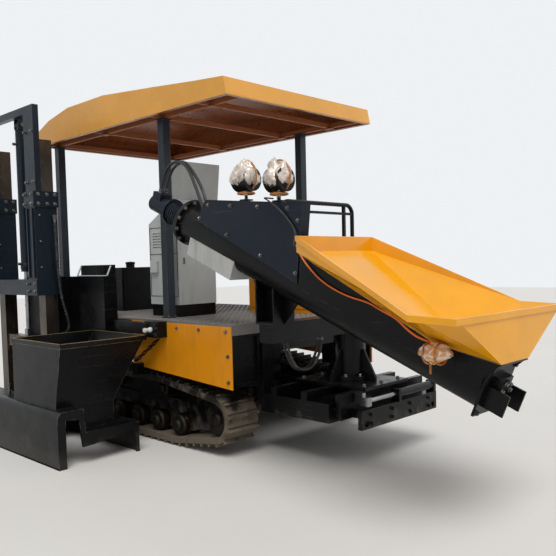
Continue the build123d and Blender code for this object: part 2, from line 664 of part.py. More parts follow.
# Screw: a shaft with a helical flight, drawn upright and then laid along the tube
screw_x0, screw_x1 = TUBE_BACK + 30, TUBE_FRONT - 40
flight_foot = SHAFT_R - 4
with BuildPart() as screw:
    with Locations((0, 0, -70)):
        Cylinder(SHAFT_R, TUBE_FRONT - TUBE_BACK + 60, align=(Align.CENTER, Align.CENTER, Align.MIN))
    with BuildLine():
        flight_path = Helix(pitch=FLIGHT_PITCH, height=screw_x1 - screw_x0, radius=flight_foot)
    with BuildSketch(Plane(origin=flight_path @ 0, x_dir=(1, 0, 0), z_dir=flight_path % 0)):
        with Locations(((FLIGHT_R - flight_foot) / 2, 0)):
            Rectangle(FLIGHT_R - flight_foot, FLIGHT_T)
    sweep(path=flight_path, is_frenet=True)
with BuildPart() as auger:
    with Locations(across(screw_x0).location):
        add(screw.part)
save(auger, "auger")

# Tail: a flange plate on the tube's end, a bearing housing and two bracket plates
with BuildPart() as tail_bearing:
    with BuildSketch(across(TUBE_FRONT)):
        with Locations((-16, 0)):
            Rectangle(312, 320)
        Circle(SHAFT_R + GAP, mode=Mode.SUBTRACT)
    extrude(amount=16)
    with BuildSketch(across(TUBE_FRONT + 16)):
        Rectangle(150, 150)
        Circle(SHAFT_R + GAP, mode=Mode.SUBTRACT)
    extrude(amount=44)
    with BuildSketch(across(TUBE_FRONT + 60)):
        Circle(64)
    extrude(amount=14)
    with BuildSketch(across(TUBE_FRONT + 16)):
        with Locations((-50, -100), (-50, 100)):
            Rectangle(130, 12)
    extrude(amount=TAIL_L)
save(tail_bearing, "tail_bearing")

# Drive at the high end
with BuildPart() as drive_motor:
    # from, to and radius of each turned step, backwards from the tube's flange
    for start, end, radius in ((0, 26, 190), (26, 70, 120), (70, 280, 96), (280, 310, 112),
                               (310, 380, 84), (380, 560, 74)):
        with BuildSketch(across(TUBE_BACK - end)):
            Circle(radius)
        extrude(amount=end - start)
    with BuildSketch(across(TUBE_BACK - 42)):
        Circle(SHAFT_R + GAP)
    extrude(amount=44, mode=Mode.SUBTRACT)
    with BuildSketch(across(TUBE_BACK - 540)):
        with Locations((70, 0)):
            Rectangle(80, 120)
    extrude(amount=110)
save(drive_motor, "drive_motor")

# Cover plate over the tube's outer side, its edges turned in to the tube; lamps on its top
# x from the deck's edge, z from the ground
guard_outline = [(-250, 1950), (-107, 2095), (895, 1996), (830, 1447)]
guard_t, guard_depth = 5.0, 90.0
guard_y = conv_y - TUBE_R - GAP - guard_t
with BuildPart() as conveyor_guard:
    for inset, mode in ((0, Mode.ADD), (guard_t, Mode.SUBTRACT)):
        with BuildSketch(Plane.XZ.offset(-(guard_y + guard_depth + inset))):
            with BuildLine():
                Polyline(*[(X0 + x, z) for x, z in guard_outline], close=True)
            make_face()
            if inset:
                offset(amount=-inset, kind=Kind.INTERSECTION)
        extrude(amount=guard_depth, mode=mode)
    with BuildSketch(across(TUBE_BACK)):
        Circle(TUBE_R + GAP)
    extrude(amount=TUBE_FRONT - TUBE_BACK, mode=Mode.SUBTRACT)
save(conveyor_guard, "conveyor_guard")

(_, _), (top_x, top_z), (end_x, end_z), _ = guard_outline
with BuildPart() as work_lamps:
    for x in LAMP_X:
        seat = top_z + (x - top_x) * (end_z - top_z) / (end_x - top_x)
        slab((X0 + x - 36, X0 + x + 36), (guard_y + 8, guard_y + 80), (seat + 4, seat + 14))
        with Locations((X0 + x, guard_y + 44, seat + 50)):
            Cylinder(12, 90)
        with Locations(Location((X0 + x, guard_y + 44, seat + 70 + LAMP_R), (0, 90, 0))):
            Cylinder(LAMP_R, LAMP_W)
save(work_lamps, "work_lamps")


def polyhedron(points, faces):
    """A closed solid from named corners; each face is a loop of corner names."""
    loops = [Wire.make_polygon([Vector(*points[name]) for name in face], close=True) for face in faces]
    return Solid(Shell([Face(loop) for loop in loops]))


# Feed hopper: a back band, a slope plate and a steep front, its corners in pairs
# name, x from the deck's edge, half width, z
feed_table = [("a", 1050, 405, 1765), ("f", 2050, 650, 1310), ("e", 2322, 645, 1300),
              ("q", 2325, FEED_FOOT, 1016), ("p", 1914, FEED_FOOT, 1105), ("g", 1050, 400, 1660)]
top_corners = "afe"
back_corners = "ag"


def hopper_solid(inset, lift):
    """The hopper's outer form, or its inside when inset by the sheet's thickness."""
    points = {}
    for name, x, half, z in feed_table:
        x += inset if name in back_corners + "p" else -inset if name in "eq" else 0
        z += lift if name in top_corners else -lift if name in "pq" else inset
        for side, turn in (("r", -1), ("l", 1)):
            points[name + side] = (X0 + x, conv_y + turn * (half - inset), z)
    loop = [row[0] for row in feed_table]
    faces = [(one + "r", one + "l", two + "l", two + "r") for one, two in zip(loop, loop[1:] + loop[:1])]
    for side in "rl":
        faces += [(one + side, two + side, "f" + side) for one, two in (("g", "a"), ("p", "g"), ("q", "p"), ("e", "q"))]
    return polyhedron(points, faces)


def rim_bar(first, second):
    """A straight bar between two upright sections, each an x, a pair of y and a pair of z."""
    points = {}
    for end, (x, y, z) in (("a", first), ("b", second)):
        points |= {end + "0": (x, y[0], z[0]), end + "1": (x, y[1], z[0]),
                   end + "2": (x, y[1], z[1]), end + "3": (x, y[0], z[1])}
    faces = [tuple("a" + i for i in "0123"), tuple("b" + i for i in "0123")]
    faces += [("a" + i, "b" + i, "b" + k, "a" + k) for i, k in zip("0123", "1230")]
    return polyhedron(points, faces)


lip_t, lip_h = FEED_LIP
with BuildPart() as feed_hopper:
    add(hopper_solid(0, 0))
    add(hopper_solid(FEED_T, 1.0), mode=Mode.SUBTRACT)
    for turn in (-1, 1):
        stations = []
        for _, x, half, z in feed_table[:3]:
            inner, outer = conv_y + turn * (half - FEED_T / 2), conv_y + turn * (half + lip_t)
            stations.append((X0 + x, (inner, outer), (z - lip_h, z)))
        for first, second in zip(stations, stations[1:]):
            add(rim_bar(first, second))
    _, x, half, z = feed_table[2]
    slab((X0 + x - FEED_T / 2, X0 + x + lip_t), (conv_y - half - lip_t, conv_y + half + lip_t), (z - lip_h, z))
    with BuildSketch(across(TUBE_BACK)):
        Circle(TUBE_R + GAP)
    extrude(amount=TUBE_FRONT - TUBE_BACK, mode=Mode.SUBTRACT)
save(feed_hopper, "feed_hopper")

# Trough plates: upright cheeks from the tube's sides to the slope plate and the hopper's foot
# x from the deck's edge, z from the ground
cheek_t = 6.0
tube_end = on_axis(TUBE_FRONT - 2)
cheek_outline = [(850, 1415), (875, 1690), (1040, 1661), (1911, 1102), (2320, 1013),
                 (tube_end.X - X0 + 20, tube_end.Z + 60), (tube_end.X - X0, tube_end.Z)]
with BuildPart() as trough_plates:
    for y in (conv_y - TUBE_R - GAP - cheek_t, conv_y + TUBE_R + GAP):
        with BuildSketch(Plane.XZ.offset(-(y + cheek_t))):
            with BuildLine():
                Polyline(*[(X0 + x, z) for x, z in cheek_outline], close=True)
            make_face()
        extrude(amount=cheek_t)
    ledge = [(2322, 1013), (2325, 1005), (2262, 1004), (2262, 1012)]
    with BuildSketch(Plane.XZ.offset(-(conv_y + TUBE_R + GAP))):
        with BuildLine():
            Polyline(*[(X0 + x, z) for x, z in ledge], close=True)
        make_face()
    extrude(amount=2 * (TUBE_R + GAP))
save(trough_plates, "trough_plates")

# Turret head: an arm from the column to a saddle under the tube
arm_z = (HEAD_Z + GAP, HEAD_Z + ARM_H)
saddle_top = on_axis((TURRET_X - TUBE_REF[0]) / cos(slope)).Z
with BuildPart() as turret_head:
    with Locations((turret_x, turret_y, sum(arm_z) / 2)):
        Cylinder(TURRET_R + 30, ARM_H - GAP)
    slab((turret_x - ARM_W / 2, turret_x + ARM_W / 2), (conv_y - 100, turret_y), arm_z)
    for x in (turret_x - 96, turret_x + 84):
        slab((x, x + 12), (conv_y - 110, conv_y + 110), (arm_z[1] - 10, saddle_top - 30))
    slab((turret_x - 96, turret_x + 96), (conv_y - 110, conv_y + 110), (arm_z[1] - 10, arm_z[1] + 6))
    with BuildSketch(Plane.XZ.offset(-(conv_y + 8))):
        with BuildLine():
            Polyline((turret_x - 96, arm_z[1] - 10), (turret_x - SADDLE_L, saddle_top - 60),
                     (turret_x - SADDLE_L, saddle_top), (turret_x + SADDLE_L, saddle_top),
                     (turret_x + SADDLE_L, saddle_top - 280), (turret_x + 96, arm_z[1] - 10), close=True)
        make_face()
    extrude(amount=16)
    with BuildSketch(across(TUBE_BACK)):
        Circle(TUBE_R + GAP)
    extrude(amount=TUBE_FRONT - TUBE_BACK, mode=Mode.SUBTRACT)
save(turret_head, "turret_head")

# Lateral beams: two tubes under the main rails, with bars that slide out of them
lateral_x = from_edge(*LATERAL_X)
lateral_h = LATERAL_Z[1] - LATERAL_Z[0]
lateral_y = (RIGHT + 20, RIGHT + 1300)
with BuildPart() as lateral_tubes:
    for x in lateral_x:
        slab((x - lateral_h / 2, x + lateral_h / 2), lateral_y, LATERAL_Z)
        slab((x - lateral_h / 2 + LATERAL_WALL, x + lateral_h / 2 - LATERAL_WALL),
             (lateral_y[0] - 1, lateral_y[1] - 10),
             (LATERAL_Z[0] + LATERAL_WALL, LATERAL_Z[1] - LATERAL_WALL), mode=Mode.SUBTRACT)
        slab((x - 40, x + 40), (MID_Y - BEAM_SPREAD / 2 - 45, MID_Y - BEAM_SPREAD / 2 + 45),
             (LATERAL_Z[1], beam_z[0] - GAP))
save(lateral_tubes, "lateral_tubes")

# Mast box: rides on the sliding bars and carries the mast
box_x, box_y = from_edge(*MAST_BOX_X), from_side(*MAST_BOX_Y)
with BuildPart() as mast_box:
    slab(box_x, box_y, MAST_BOX_Z)
    slab((box_x[0] + 12, box_x[1] - 12), (box_y[0] + 12, box_y[1] - 12),
         (MAST_BOX_Z[0] + 12, MAST_BOX_Z[1] + 1), mode=Mode.SUBTRACT)
    bar = lateral_h / 2 - LATERAL_WALL - SLIDE_GAP
    mid_z = sum(LATERAL_Z) / 2
    for x in lateral_x:
        slab((x - bar, x + bar), (box_y[1] - 12, RIGHT + 900), (mid_z - bar, mid_z + bar))
save(mast_box, "mast_box")

# Mast frame: sleeves round the guide columns, bottom flange, outer posts and top beam
mast_y = RIGHT + MAST_Y
columns_x = from_edge(*MAST_X)
rod_x = sum(columns_x) / 2
bore = COLUMN / 2 + SLIDE_GAP
sleeve = bore + SLEEVE_WALL
mast_post_y = (mast_y + MAST_POST_Y[0], mast_y + MAST_POST_Y[1])
with BuildPart() as mast_frame:
    for x in columns_x:
        for margin, low in ((0, SLEEVE_Z[0]), (COLLAR_T, SLEEVE_Z[1] - COLLAR_H)):
            slab((x - sleeve - margin, x + sleeve + margin),
                 (mast_y - SLEEVE_BACK - margin, mast_y + sleeve + margin), (low, SLEEVE_Z[1]))
        slab((x + MAST_POST_X[0], x + MAST_POST_X[1]), mast_post_y, (SLEEVE_Z[1] - 60, MAST_TOP))
    slab((columns_x[0] - sleeve - COLLAR_T, columns_x[1] + sleeve + COLLAR_T),
         (mast_y - SLEEVE_BACK - COLLAR_T, box_y[0] - GAP), (SLEEVE_Z[0], SLEEVE_Z[0] + FLANGE_H))
    for x in columns_x:
        slab((x - bore, x + bore), (mast_y - bore, mast_y + bore), (SLEEVE_Z[0] - 1, SLEEVE_Z[1] + 1),
             mode=Mode.SUBTRACT)
    with Locations((rod_x, mast_y, SLEEVE_Z[0] + FLANGE_H / 2)):
        Cylinder(64, FLANGE_H + 2, mode=Mode.SUBTRACT)
    # Top beam, and the clevis that hangs the lift cylinder inside it
    slab((columns_x[0] + MAST_POST_X[0], columns_x[1] + MAST_POST_X[1]), mast_post_y,
         (MAST_TOP - MAST_BEAM_H, MAST_TOP))
    slab((rod_x - 60, rod_x + 60), (mast_post_y[0], mast_y + 60), (MAST_TOP - 20, MAST_TOP))
    for x in (rod_x - 44, rod_x + 28):
        slab((x, x + 16), (mast_y - 40, mast_y + 40), (MAST_TOP - 150, MAST_TOP - 20))
save(mast_frame, "mast_frame")

eye_z = MAST_TOP - 105
barrel_r, lift_rod_r = 48.0, 22.0
barrel_low = 1560.0
with BuildPart() as lift_barrel:
    with BuildSketch(Plane.XY.offset(barrel_low)):
        with Locations((rod_x, mast_y)):
            Circle(barrel_r)
            Circle(lift_rod_r + GAP, mode=Mode.SUBTRACT)
    extrude(amount=eye_z - 70 - barrel_low)
    with Locations((rod_x, mast_y, eye_z - 62)):
        Cylinder(barrel_r, 20)
    with Locations(Location((rod_x, mast_y, eye_z), (0, 90, 0))):
        Cylinder(40, 50)
    slab((rod_x - 20, rod_x + 20), (mast_y - 30, mast_y + 30), (eye_z - 60, eye_z))
save(lift_barrel, "lift_barrel")

# Kerb mould: a bent shell over the kerb and the gutter, open below and at both ends
mould_x, mould_y = from_edge(*MOULD_X), from_side(*MOULD_Y)
step_y = mould_y[0] + KERB_W
rim_x, rim_y = from_edge(*RIM_X), from_side(*RIM_Y)
foot_x = (rim_x[0] + 60, rim_x[1] - 60)
foot_y = (mould_y[0] + MOULD_ROUND, mould_y[1] - 160)
throat_y = step_y + 15


def mould_section(section, inset, low):
    """Draw the mould's outline across the kerb in a sketch, or its inside when inset."""
    outer_y, inner_y = mould_y[0] + inset, mould_y[1] - inset
    Polygon((outer_y, low), (outer_y, KERB_Z - inset), (step_y - inset, KERB_Z - inset),
            (step_y + 13 - inset, SHELF_Z - inset), (inner_y, SHELF_Z - inset), (inner_y, low), align=None)
    crown_edge = section.vertices().sort_by(Axis.Y)[-2:].sort_by(Axis.X)[0]
    fillet(crown_edge, radius=MOULD_ROUND - inset)


with BuildPart() as mould:
    with BuildSketch(Plane.YZ.offset(mould_x[0])) as section:
        mould_section(section, 0, 0)
    extrude(amount=mould_x[1] - mould_x[0])
    with BuildSketch(Plane.YZ.offset(mould_x[0] - 1)) as section:
        mould_section(section, MOULD_T, -1)
    extrude(amount=mould_x[1] - mould_x[0] + 2, mode=Mode.SUBTRACT)
    # End frames: the kerb opening and the gutter opening stay clear
    for x in (mould_x[0], mould_x[1] - 20):
        with BuildSketch(Plane.YZ.offset(x)) as section:
            mould_section(section, 0, 0)
            Polygon((mould_y[0] + 70, -1), (mould_y[0] + 70, 388), (step_y - 44, 376), (step_y - 14, 145),
                    (step_y + 90, 150), (mould_y[1] - 30, 205), (mould_y[1] - 30, -1), align=None,
                    mode=Mode.SUBTRACT)
        extrude(amount=20)
    slab((foot_x[0] + HOPPER_T, foot_x[1] - HOPPER_T), (foot_y[0] + HOPPER_T, foot_y[1] - HOPPER_T),
         (SHELF_Z - MOULD_T - 1, KERB_Z + 1), mode=Mode.SUBTRACT)
save(mould, "mould")

# Mould hopper: a tapered sheet box over the kerb, and a throat on its inner side down to the shelf
with BuildPart() as mould_hopper:
    for inset, rise, mode in ((0, 0, Mode.ADD), (HOPPER_T, 1, Mode.SUBTRACT)):
        with BuildSketch(Plane.XY.offset(KERB_Z + GAP - rise)):
            with Locations((sum(foot_x) / 2, sum(foot_y) / 2)):
                Rectangle(foot_x[1] - foot_x[0] - 2 * inset, foot_y[1] - foot_y[0] - 2 * inset)
        with BuildSketch(Plane.XY.offset(RIM_Z + rise)):
            with Locations((sum(rim_x) / 2, sum(rim_y) / 2)):
                Rectangle(rim_x[1] - rim_x[0] - 2 * inset, rim_y[1] - rim_y[0] - 2 * inset)
        loft(ruled=True, mode=mode)
        slab((foot_x[0] + inset, foot_x[1] - inset), (throat_y - inset, foot_y[1] - inset),
             (SHELF_Z + GAP - rise, KERB_Z + GAP + rise), mode)
    for y, z in ((rim_y[0], RIM_Z), (rim_y[1], RIM_Z)):
        slab(rim_x, (y - HOPPER_T, y + HOPPER_T), (z - 40, z))
    for x in rim_x:
        slab((x - HOPPER_T, x + HOPPER_T), (rim_y[0] - HOPPER_T, rim_y[1] + HOPPER_T), (RIM_Z - 40, RIM_Z))
save(mould_hopper, "mould_hopper")

# Guide columns on the mould, tied by a foot beam that takes the lift rod's eye
with BuildPart() as guide_columns:
    for x in columns_x:
        slab((x - COLUMN / 2, x + COLUMN / 2), (mast_y - COLUMN / 2, mast_y + COLUMN / 2),
             (SHELF_Z + GAP, COLUMN_TOP))
        slab((x - COLUMN / 2 + COLUMN_WALL, x + COLUMN / 2 - COLUMN_WALL),
             (mast_y - COLUMN / 2 + COLUMN_WALL, mast_y + COLUMN / 2 - COLUMN_WALL),
             (1100, COLUMN_TOP + 1), mode=Mode.SUBTRACT)
    slab((columns_x[0], columns_x[1]), (mast_y - 50, mast_y + 50), (780, 900))
save(guide_columns, "guide_columns")

with BuildPart() as lift_rod:
    with Locations((rod_x, mast_y, 960)):
        Cylinder(lift_rod_r, 1400, align=(Align.CENTER, Align.CENTER, Align.MIN))
    slab((rod_x - 30, rod_x + 30), (mast_y - 30, mast_y + 30), (900 + GAP, 970))
save(lift_rod, "lift_rod")

# Valve box on the deck's side: an open sheet box with its hatch flap standing up
valve_x, valve_y = from_edge(*VALVE_X), from_side(*VALVE_Y)
with BuildPart() as valve_box:
    slab(valve_x, valve_y, VALVE_Z)
    slab((valve_x[0] + 4, valve_x[1] - 4), (valve_y[0] + 4, valve_y[1] - 4), (VALVE_Z[0] + 4, VALVE_Z[1] + 1),
         mode=Mode.SUBTRACT)
    slab((valve_x[0] + 10, valve_x[1] - 10), (valve_y[1] - 8, valve_y[1]), (VALVE_Z[1] - 2, VALVE_Z[1] + 110))
save(valve_box, "valve_box")

# Tow bracket on the deck's side: a block, a bar to the valve box, and a lug low on the panel
with BuildPart() as tow_bracket:
    slab(from_edge(-1056, -861), from_side(-100, -GAP), (960, 1100))
    slab((valve_x[1] + GAP, X0 - 1056), from_side(-80, -20), (985, 1085))
    slab(from_edge(-1290, -1230), from_side(-85, -GAP), (600, 700))
save(tow_bracket, "tow_bracket")

# Tow chain: flat links, turned by a quarter from one to the next
chain_top = Vector(X0 - 935, RIGHT - 60, 930)
chain_low = Vector(X0 - 1250, RIGHT - 60, 733)
chain_dir = (chain_low - chain_top).normalized()
link_count = round((chain_low - chain_top).length / LINK_PITCH) + 1
with BuildPart() as tow_chain:
    for i in range(link_count):
        seat = chain_top + (chain_low - chain_top) * (i / (link_count - 1))
        face = Vector(0, 1, 0) if i % 2 else chain_dir.cross(Vector(0, 1, 0))
        with BuildSketch(Plane(origin=seat - face * (LINK_T / 2), x_dir=chain_dir, z_dir=face)):
            SlotOverall(LINK_PITCH + 2 * LINK_T, LINK_W)
            SlotOverall(LINK_PITCH, LINK_W - 2 * LINK_T, mode=Mode.SUBTRACT)
        extrude(amount=LINK_T)
save(tow_chain, "tow_chain")
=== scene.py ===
"""Looks of a tracked slipform paver: finishes, small pieces, cords, camera and studio.

All lengths are in metres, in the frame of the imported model.
"""

import logging
import math
from dataclasses import dataclass
from enum import Enum
from itertools import product
from typing import Iterable

import bmesh
import bpy
import numpy as np
from mathutils import Matrix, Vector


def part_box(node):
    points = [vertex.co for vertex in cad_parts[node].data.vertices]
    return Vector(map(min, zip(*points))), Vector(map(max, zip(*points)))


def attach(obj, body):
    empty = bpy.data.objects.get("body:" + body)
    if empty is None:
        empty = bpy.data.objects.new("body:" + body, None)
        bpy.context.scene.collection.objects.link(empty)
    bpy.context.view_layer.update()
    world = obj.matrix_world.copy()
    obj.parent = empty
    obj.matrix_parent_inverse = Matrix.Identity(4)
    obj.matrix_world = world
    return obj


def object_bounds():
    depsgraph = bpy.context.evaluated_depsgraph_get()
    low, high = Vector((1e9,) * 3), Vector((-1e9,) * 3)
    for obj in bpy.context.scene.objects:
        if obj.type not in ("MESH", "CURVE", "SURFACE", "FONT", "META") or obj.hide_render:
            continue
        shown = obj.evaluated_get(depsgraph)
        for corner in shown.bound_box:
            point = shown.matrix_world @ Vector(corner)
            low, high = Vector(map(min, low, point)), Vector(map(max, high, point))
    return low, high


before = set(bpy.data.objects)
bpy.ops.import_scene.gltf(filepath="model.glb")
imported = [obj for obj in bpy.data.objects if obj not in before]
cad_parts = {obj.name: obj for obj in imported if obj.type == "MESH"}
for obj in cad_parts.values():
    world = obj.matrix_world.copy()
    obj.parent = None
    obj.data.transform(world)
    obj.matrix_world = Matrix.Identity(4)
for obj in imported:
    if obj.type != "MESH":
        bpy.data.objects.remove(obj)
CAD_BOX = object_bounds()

log = logging.getLogger("paver")

Array = np.ndarray
Point = tuple[float, float, float]
Material = bpy.types.Material
Socket = bpy.types.NodeSocket
Value = "float | tuple | Socket"

# stations run forwards from the deck's front edge, leftwards from the right side plane and up from the ground
DECK_EDGE = 0.499
RIGHT_PLANE = -0.408
DECK_WIDTH = 1.866
DECK_TOP = 1.107


class Body(Enum):
    """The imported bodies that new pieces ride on."""

    MACHINE = "machine"
    CARRIAGE = "carriage"
    CONVEYOR = "conveyor"
    LID = "console_lid"
    MAST = "mast"
    MOULD = "mould"


class Shading(Enum):
    """How a new piece's faces are shaded, as the angle in degrees up to which an edge looks rounded."""

    FLAT = 0.0
    CREASED = 35.0
    SMOOTH = 180.0


def place(x: float, y: float, z: float) -> Point:
    """Turn stations into model metres."""
    return (DECK_EDGE + x, RIGHT_PLANE + y, z)


def paint_colour(code: str) -> tuple[float, float, float, float]:
    """Turn a six-digit sRGB colour code into a linear RGBA colour.

    Args:
        code: The colour as "rrggbb".

    Returns:
        Each channel c as c / 12.92 below 0.04045, and ((c + 0.055) / 1.055) ** 2.4 above it.
    """
    c = np.array([int(code[i : i + 2], 16) / 255.0 for i in (0, 2, 4)])
    linear = np.where(c < 0.04045, c / 12.92, ((c + 0.055) / 1.055) ** 2.4)
    return (float(linear[0]), float(linear[1]), float(linear[2]), 1.0)


# Surfaces


@dataclass
class Surface:
    """Points and four-sided faces of a surface that is not yet a Blender mesh."""

    points: Array
    quads: Array


def normed(vectors: Array) -> Array:
    """Bring vectors to unit length."""
    return vectors / np.linalg.norm(vectors, axis=-1, keepdims=True)


def circle(count: int, phase: float = 0.0) -> Array:
    """Space points round a unit circle, as (count, 2), from an angle in radians."""
    t = phase + np.arange(count) * 2 * math.pi / count
    return np.stack([np.cos(t), np.sin(t)], axis=1)


def grid_quads(rows: int, columns: int, wrap_rows: bool, wrap_columns: bool) -> Array:
    """List the faces of a grid of points that is stored row by row.

    Args:
        rows: Number of rows of points.
        columns: Number of points in a row.
        wrap_rows: Whether the last row joins the first.
        wrap_columns: Whether the end of each row joins its start.

    Returns:
        Faces as (count, 4) indices: each point with its neighbours along, across and both.
    """
    i = np.arange(rows if wrap_rows else rows - 1)[:, None]
    j = np.arange(columns if wrap_columns else columns - 1)[None, :]
    i2, j2 = (i + 1) % rows, (j + 1) % columns
    corners = [i * columns + j, i * columns + j2, i2 * columns + j2, i2 * columns + j]
    return np.stack([np.broadcast_to(c, (i.size, j.size)).ravel() for c in corners], axis=1)


def join(surfaces: list[Surface]) -> Surface:
    """Put several surfaces into one, the faces' indices shifted past the points before them."""
    starts = np.cumsum([0] + [len(s.points) for s in surfaces[:-1]])
    points = np.concatenate([s.points for s in surfaces])
    return Surface(points, np.concatenate([s.quads + k for s, k in zip(surfaces, starts)]))


def turned_form(profile: list[tuple[float, float]], sides: int) -> Surface:
    """Turn a profile about Z: point (r, z) at angle t goes to (r cos t, r sin t, z).

    Args:
        profile: Radius and height of each step, from one pole to the other.
        sides: Number of steps round the axis.

    Returns:
        The closed surface of revolution.
    """
    rz = np.array(profile, float)
    xy = rz[:, None, :1] * circle(sides)
    z = np.broadcast_to(rz[:, None, 1:], (len(rz), sides, 1))
    return Surface(np.concatenate([xy, z], axis=2).reshape(-1, 3), grid_quads(len(rz), sides, False, True))


def swept(profile: Array, path: Array, up: Point, closed: bool = False) -> Surface:
    """Carry a closed profile along a path.

    At each path point P with tangent T, side S = T x up and rise R = S x T, a profile point (a, b) goes to
    P + a S + b R. An open sweep is closed by a fan that narrows to the path's end points.

    Args:
        profile: Outline as (count, 2) offsets to the side and upwards.
        path: Points of the path as (count, 3).
        up: Direction that the profile's second coordinate leans to.
        closed: Whether the path joins its start.

    Returns:
        The swept surface.
    """
    profile, path = np.asarray(profile, float), np.asarray(path, float)
    ahead = np.roll(path, -1, 0) - np.roll(path, 1, 0)
    if not closed:
        ahead[0], ahead[-1] = path[1] - path[0], path[-1] - path[-2]
    tangent = normed(ahead)
    side = normed(np.cross(tangent, np.asarray(up, float)))
    rise = np.cross(side, tangent)
    rows = path[:, None] + profile[None, :, :1] * side[:, None] + profile[None, :, 1:] * rise[:, None]
    if not closed:
        poles = [np.broadcast_to(path[k], (1, len(profile), 3)) for k in (0, -1)]
        rows = np.concatenate([poles[0], rows, poles[1]])
    return Surface(rows.reshape(-1, 3), grid_quads(len(rows), len(profile), closed, True))


def rounded_box(low: Point, high: Point, radius: float) -> Surface:
    """Build a block with chamfered edges from two corners.

    Four stacked rings of eight points, each ring the block's outline with its corners cut by the radius, the lowest
    and the highest drawn in by the radius and closed by a flat fan.

    Args:
        low: Lowest corner.
        high: Highest corner.
        radius: Width of the chamfer.

    Returns:
        The closed block.
    """
    lo, hi = np.minimum(low, high).astype(float), np.maximum(low, high).astype(float)
    centre, half = (lo + hi) / 2, (hi - lo) / 2
    c = min(radius, float(half.min()) * 0.9)
    ring = np.array([(1, -1, 0, 1), (1, 1, 0, -1), (1, 1, -1, 0), (-1, 1, 1, 0),
                     (-1, 1, 0, -1), (-1, -1, 0, 1), (-1, -1, 1, 0), (1, -1, -1, 0)], float)
    rows = []
    for level, draw in ((-half[2], c), (-half[2] + c, 0.0), (half[2] - c, 0.0), (half[2], c)):
        x = ring[:, 0] * (half[0] - draw) + ring[:, 2] * c
        y = ring[:, 1] * (half[1] - draw) + ring[:, 3] * c
        rows.append(np.stack([x, y, np.full(8, level)], axis=1))
    rows = [rows[0] * (0, 0, 1), *rows, rows[-1] * (0, 0, 1)]
    return Surface(np.concatenate(rows) + centre, grid_quads(6, 8, False, True))


def scattered(unit: Surface, spots: Array, normals: Array | Point, spin: float = 0.0) -> Surface:
    """Repeat a small surface at many spots: each copy's Z lies along that spot's normal.

    Args:
        unit: The surface to repeat, standing on its own origin.
        spots: Places as (count, 3).
        normals: One direction for all, or one for each spot.
        spin: Turn of each copy about its normal, in radians, growing from copy to copy.

    Returns:
        All copies as one surface.
    """
    spots = np.asarray(spots, float).reshape(-1, 3)
    n = normed(np.broadcast_to(np.asarray(normals, float), spots.shape))
    helper = np.where(np.abs(n[:, 2:]) < 0.9, (0.0, 0.0, 1.0), (1.0, 0.0, 0.0))
    a = normed(np.cross(helper, n))
    b = np.cross(n, a)
    angle = (spin * np.arange(len(spots)))[:, None]
    a, b = a * np.cos(angle) + b * np.sin(angle), b * np.cos(angle) - a * np.sin(angle)
    axes = np.stack([a, b, n], axis=1)
    points = spots[:, None] + np.einsum("pk,skj->spj", unit.points, axes)
    quads = unit.quads[None] + (np.arange(len(spots)) * len(unit.points))[:, None, None]
    return Surface(points.reshape(-1, 3), quads.reshape(-1, 4))


def ripple(values: Array, seed: int) -> Array:
    """Sum sine waves of random direction, length and phase over points: a smooth, seeded unevenness.

    Args:
        values: Points as (count, 3), already scaled so that a unit is one typical bump.
        seed: Seed of the waves.

    Returns:
        One value a point, about -1 to 1.
    """
    rng, waves = np.random.default_rng(seed), 7
    directions = rng.normal(size=(waves, 3)) * 2.6
    phases = rng.uniform(0, 2 * math.pi, waves)
    return np.sin(values @ directions.T + phases).sum(axis=1) / math.sqrt(waves)


def put(name: str, surface: Surface, finish: Material, body: Body = Body.MACHINE,
        shading: Shading = Shading.CREASED) -> bpy.types.Object:
    """Make a surface a named piece that rides on a body.

    Args:
        name: The piece's name.
        surface: Its points and faces.
        finish: Its material.
        body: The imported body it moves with.
        shading: How its faces are shaded.

    Returns:
        The new object, at the origin with its place in its mesh.
    """
    mesh = bpy.data.meshes.new(name)
    mesh.from_pydata(surface.points.tolist(), [], surface.quads.tolist())
    tidy = bmesh.new()
    tidy.from_mesh(mesh)
    bmesh.ops.remove_doubles(tidy, verts=tidy.verts, dist=1e-5)
    bmesh.ops.dissolve_degenerate(tidy, edges=tidy.edges, dist=1e-6)
    bmesh.ops.recalc_face_normals(tidy, faces=tidy.faces)
    tidy.to_mesh(mesh)
    tidy.free()
    mesh.polygons.foreach_set("use_smooth", np.full(len(mesh.polygons), shading is not Shading.FLAT))
    if shading is Shading.CREASED:
        mesh.set_sharp_from_angle(angle=math.radians(shading.value))
    mesh.materials.append(finish)
    piece = bpy.data.objects.new(name, mesh)
    bpy.context.scene.collection.objects.link(piece)
    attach(piece, body.value)
    log.info("piece %s: %d faces on %s", name, len(mesh.polygons), body.value)
    return piece


def dress(finish: Material, *nodes: str) -> None:
    """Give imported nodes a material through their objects' material slots.

    Args:
        finish: The material.
        nodes: Names of the nodes.
    """
    for name in nodes:
        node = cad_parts[name]
        if not node.material_slots:
            node.data.materials.append(finish)
        for holder in node.material_slots:
            holder.material = finish
    log.info("finish %s on %s", finish.name, ", ".join(nodes))


# Shader node groups


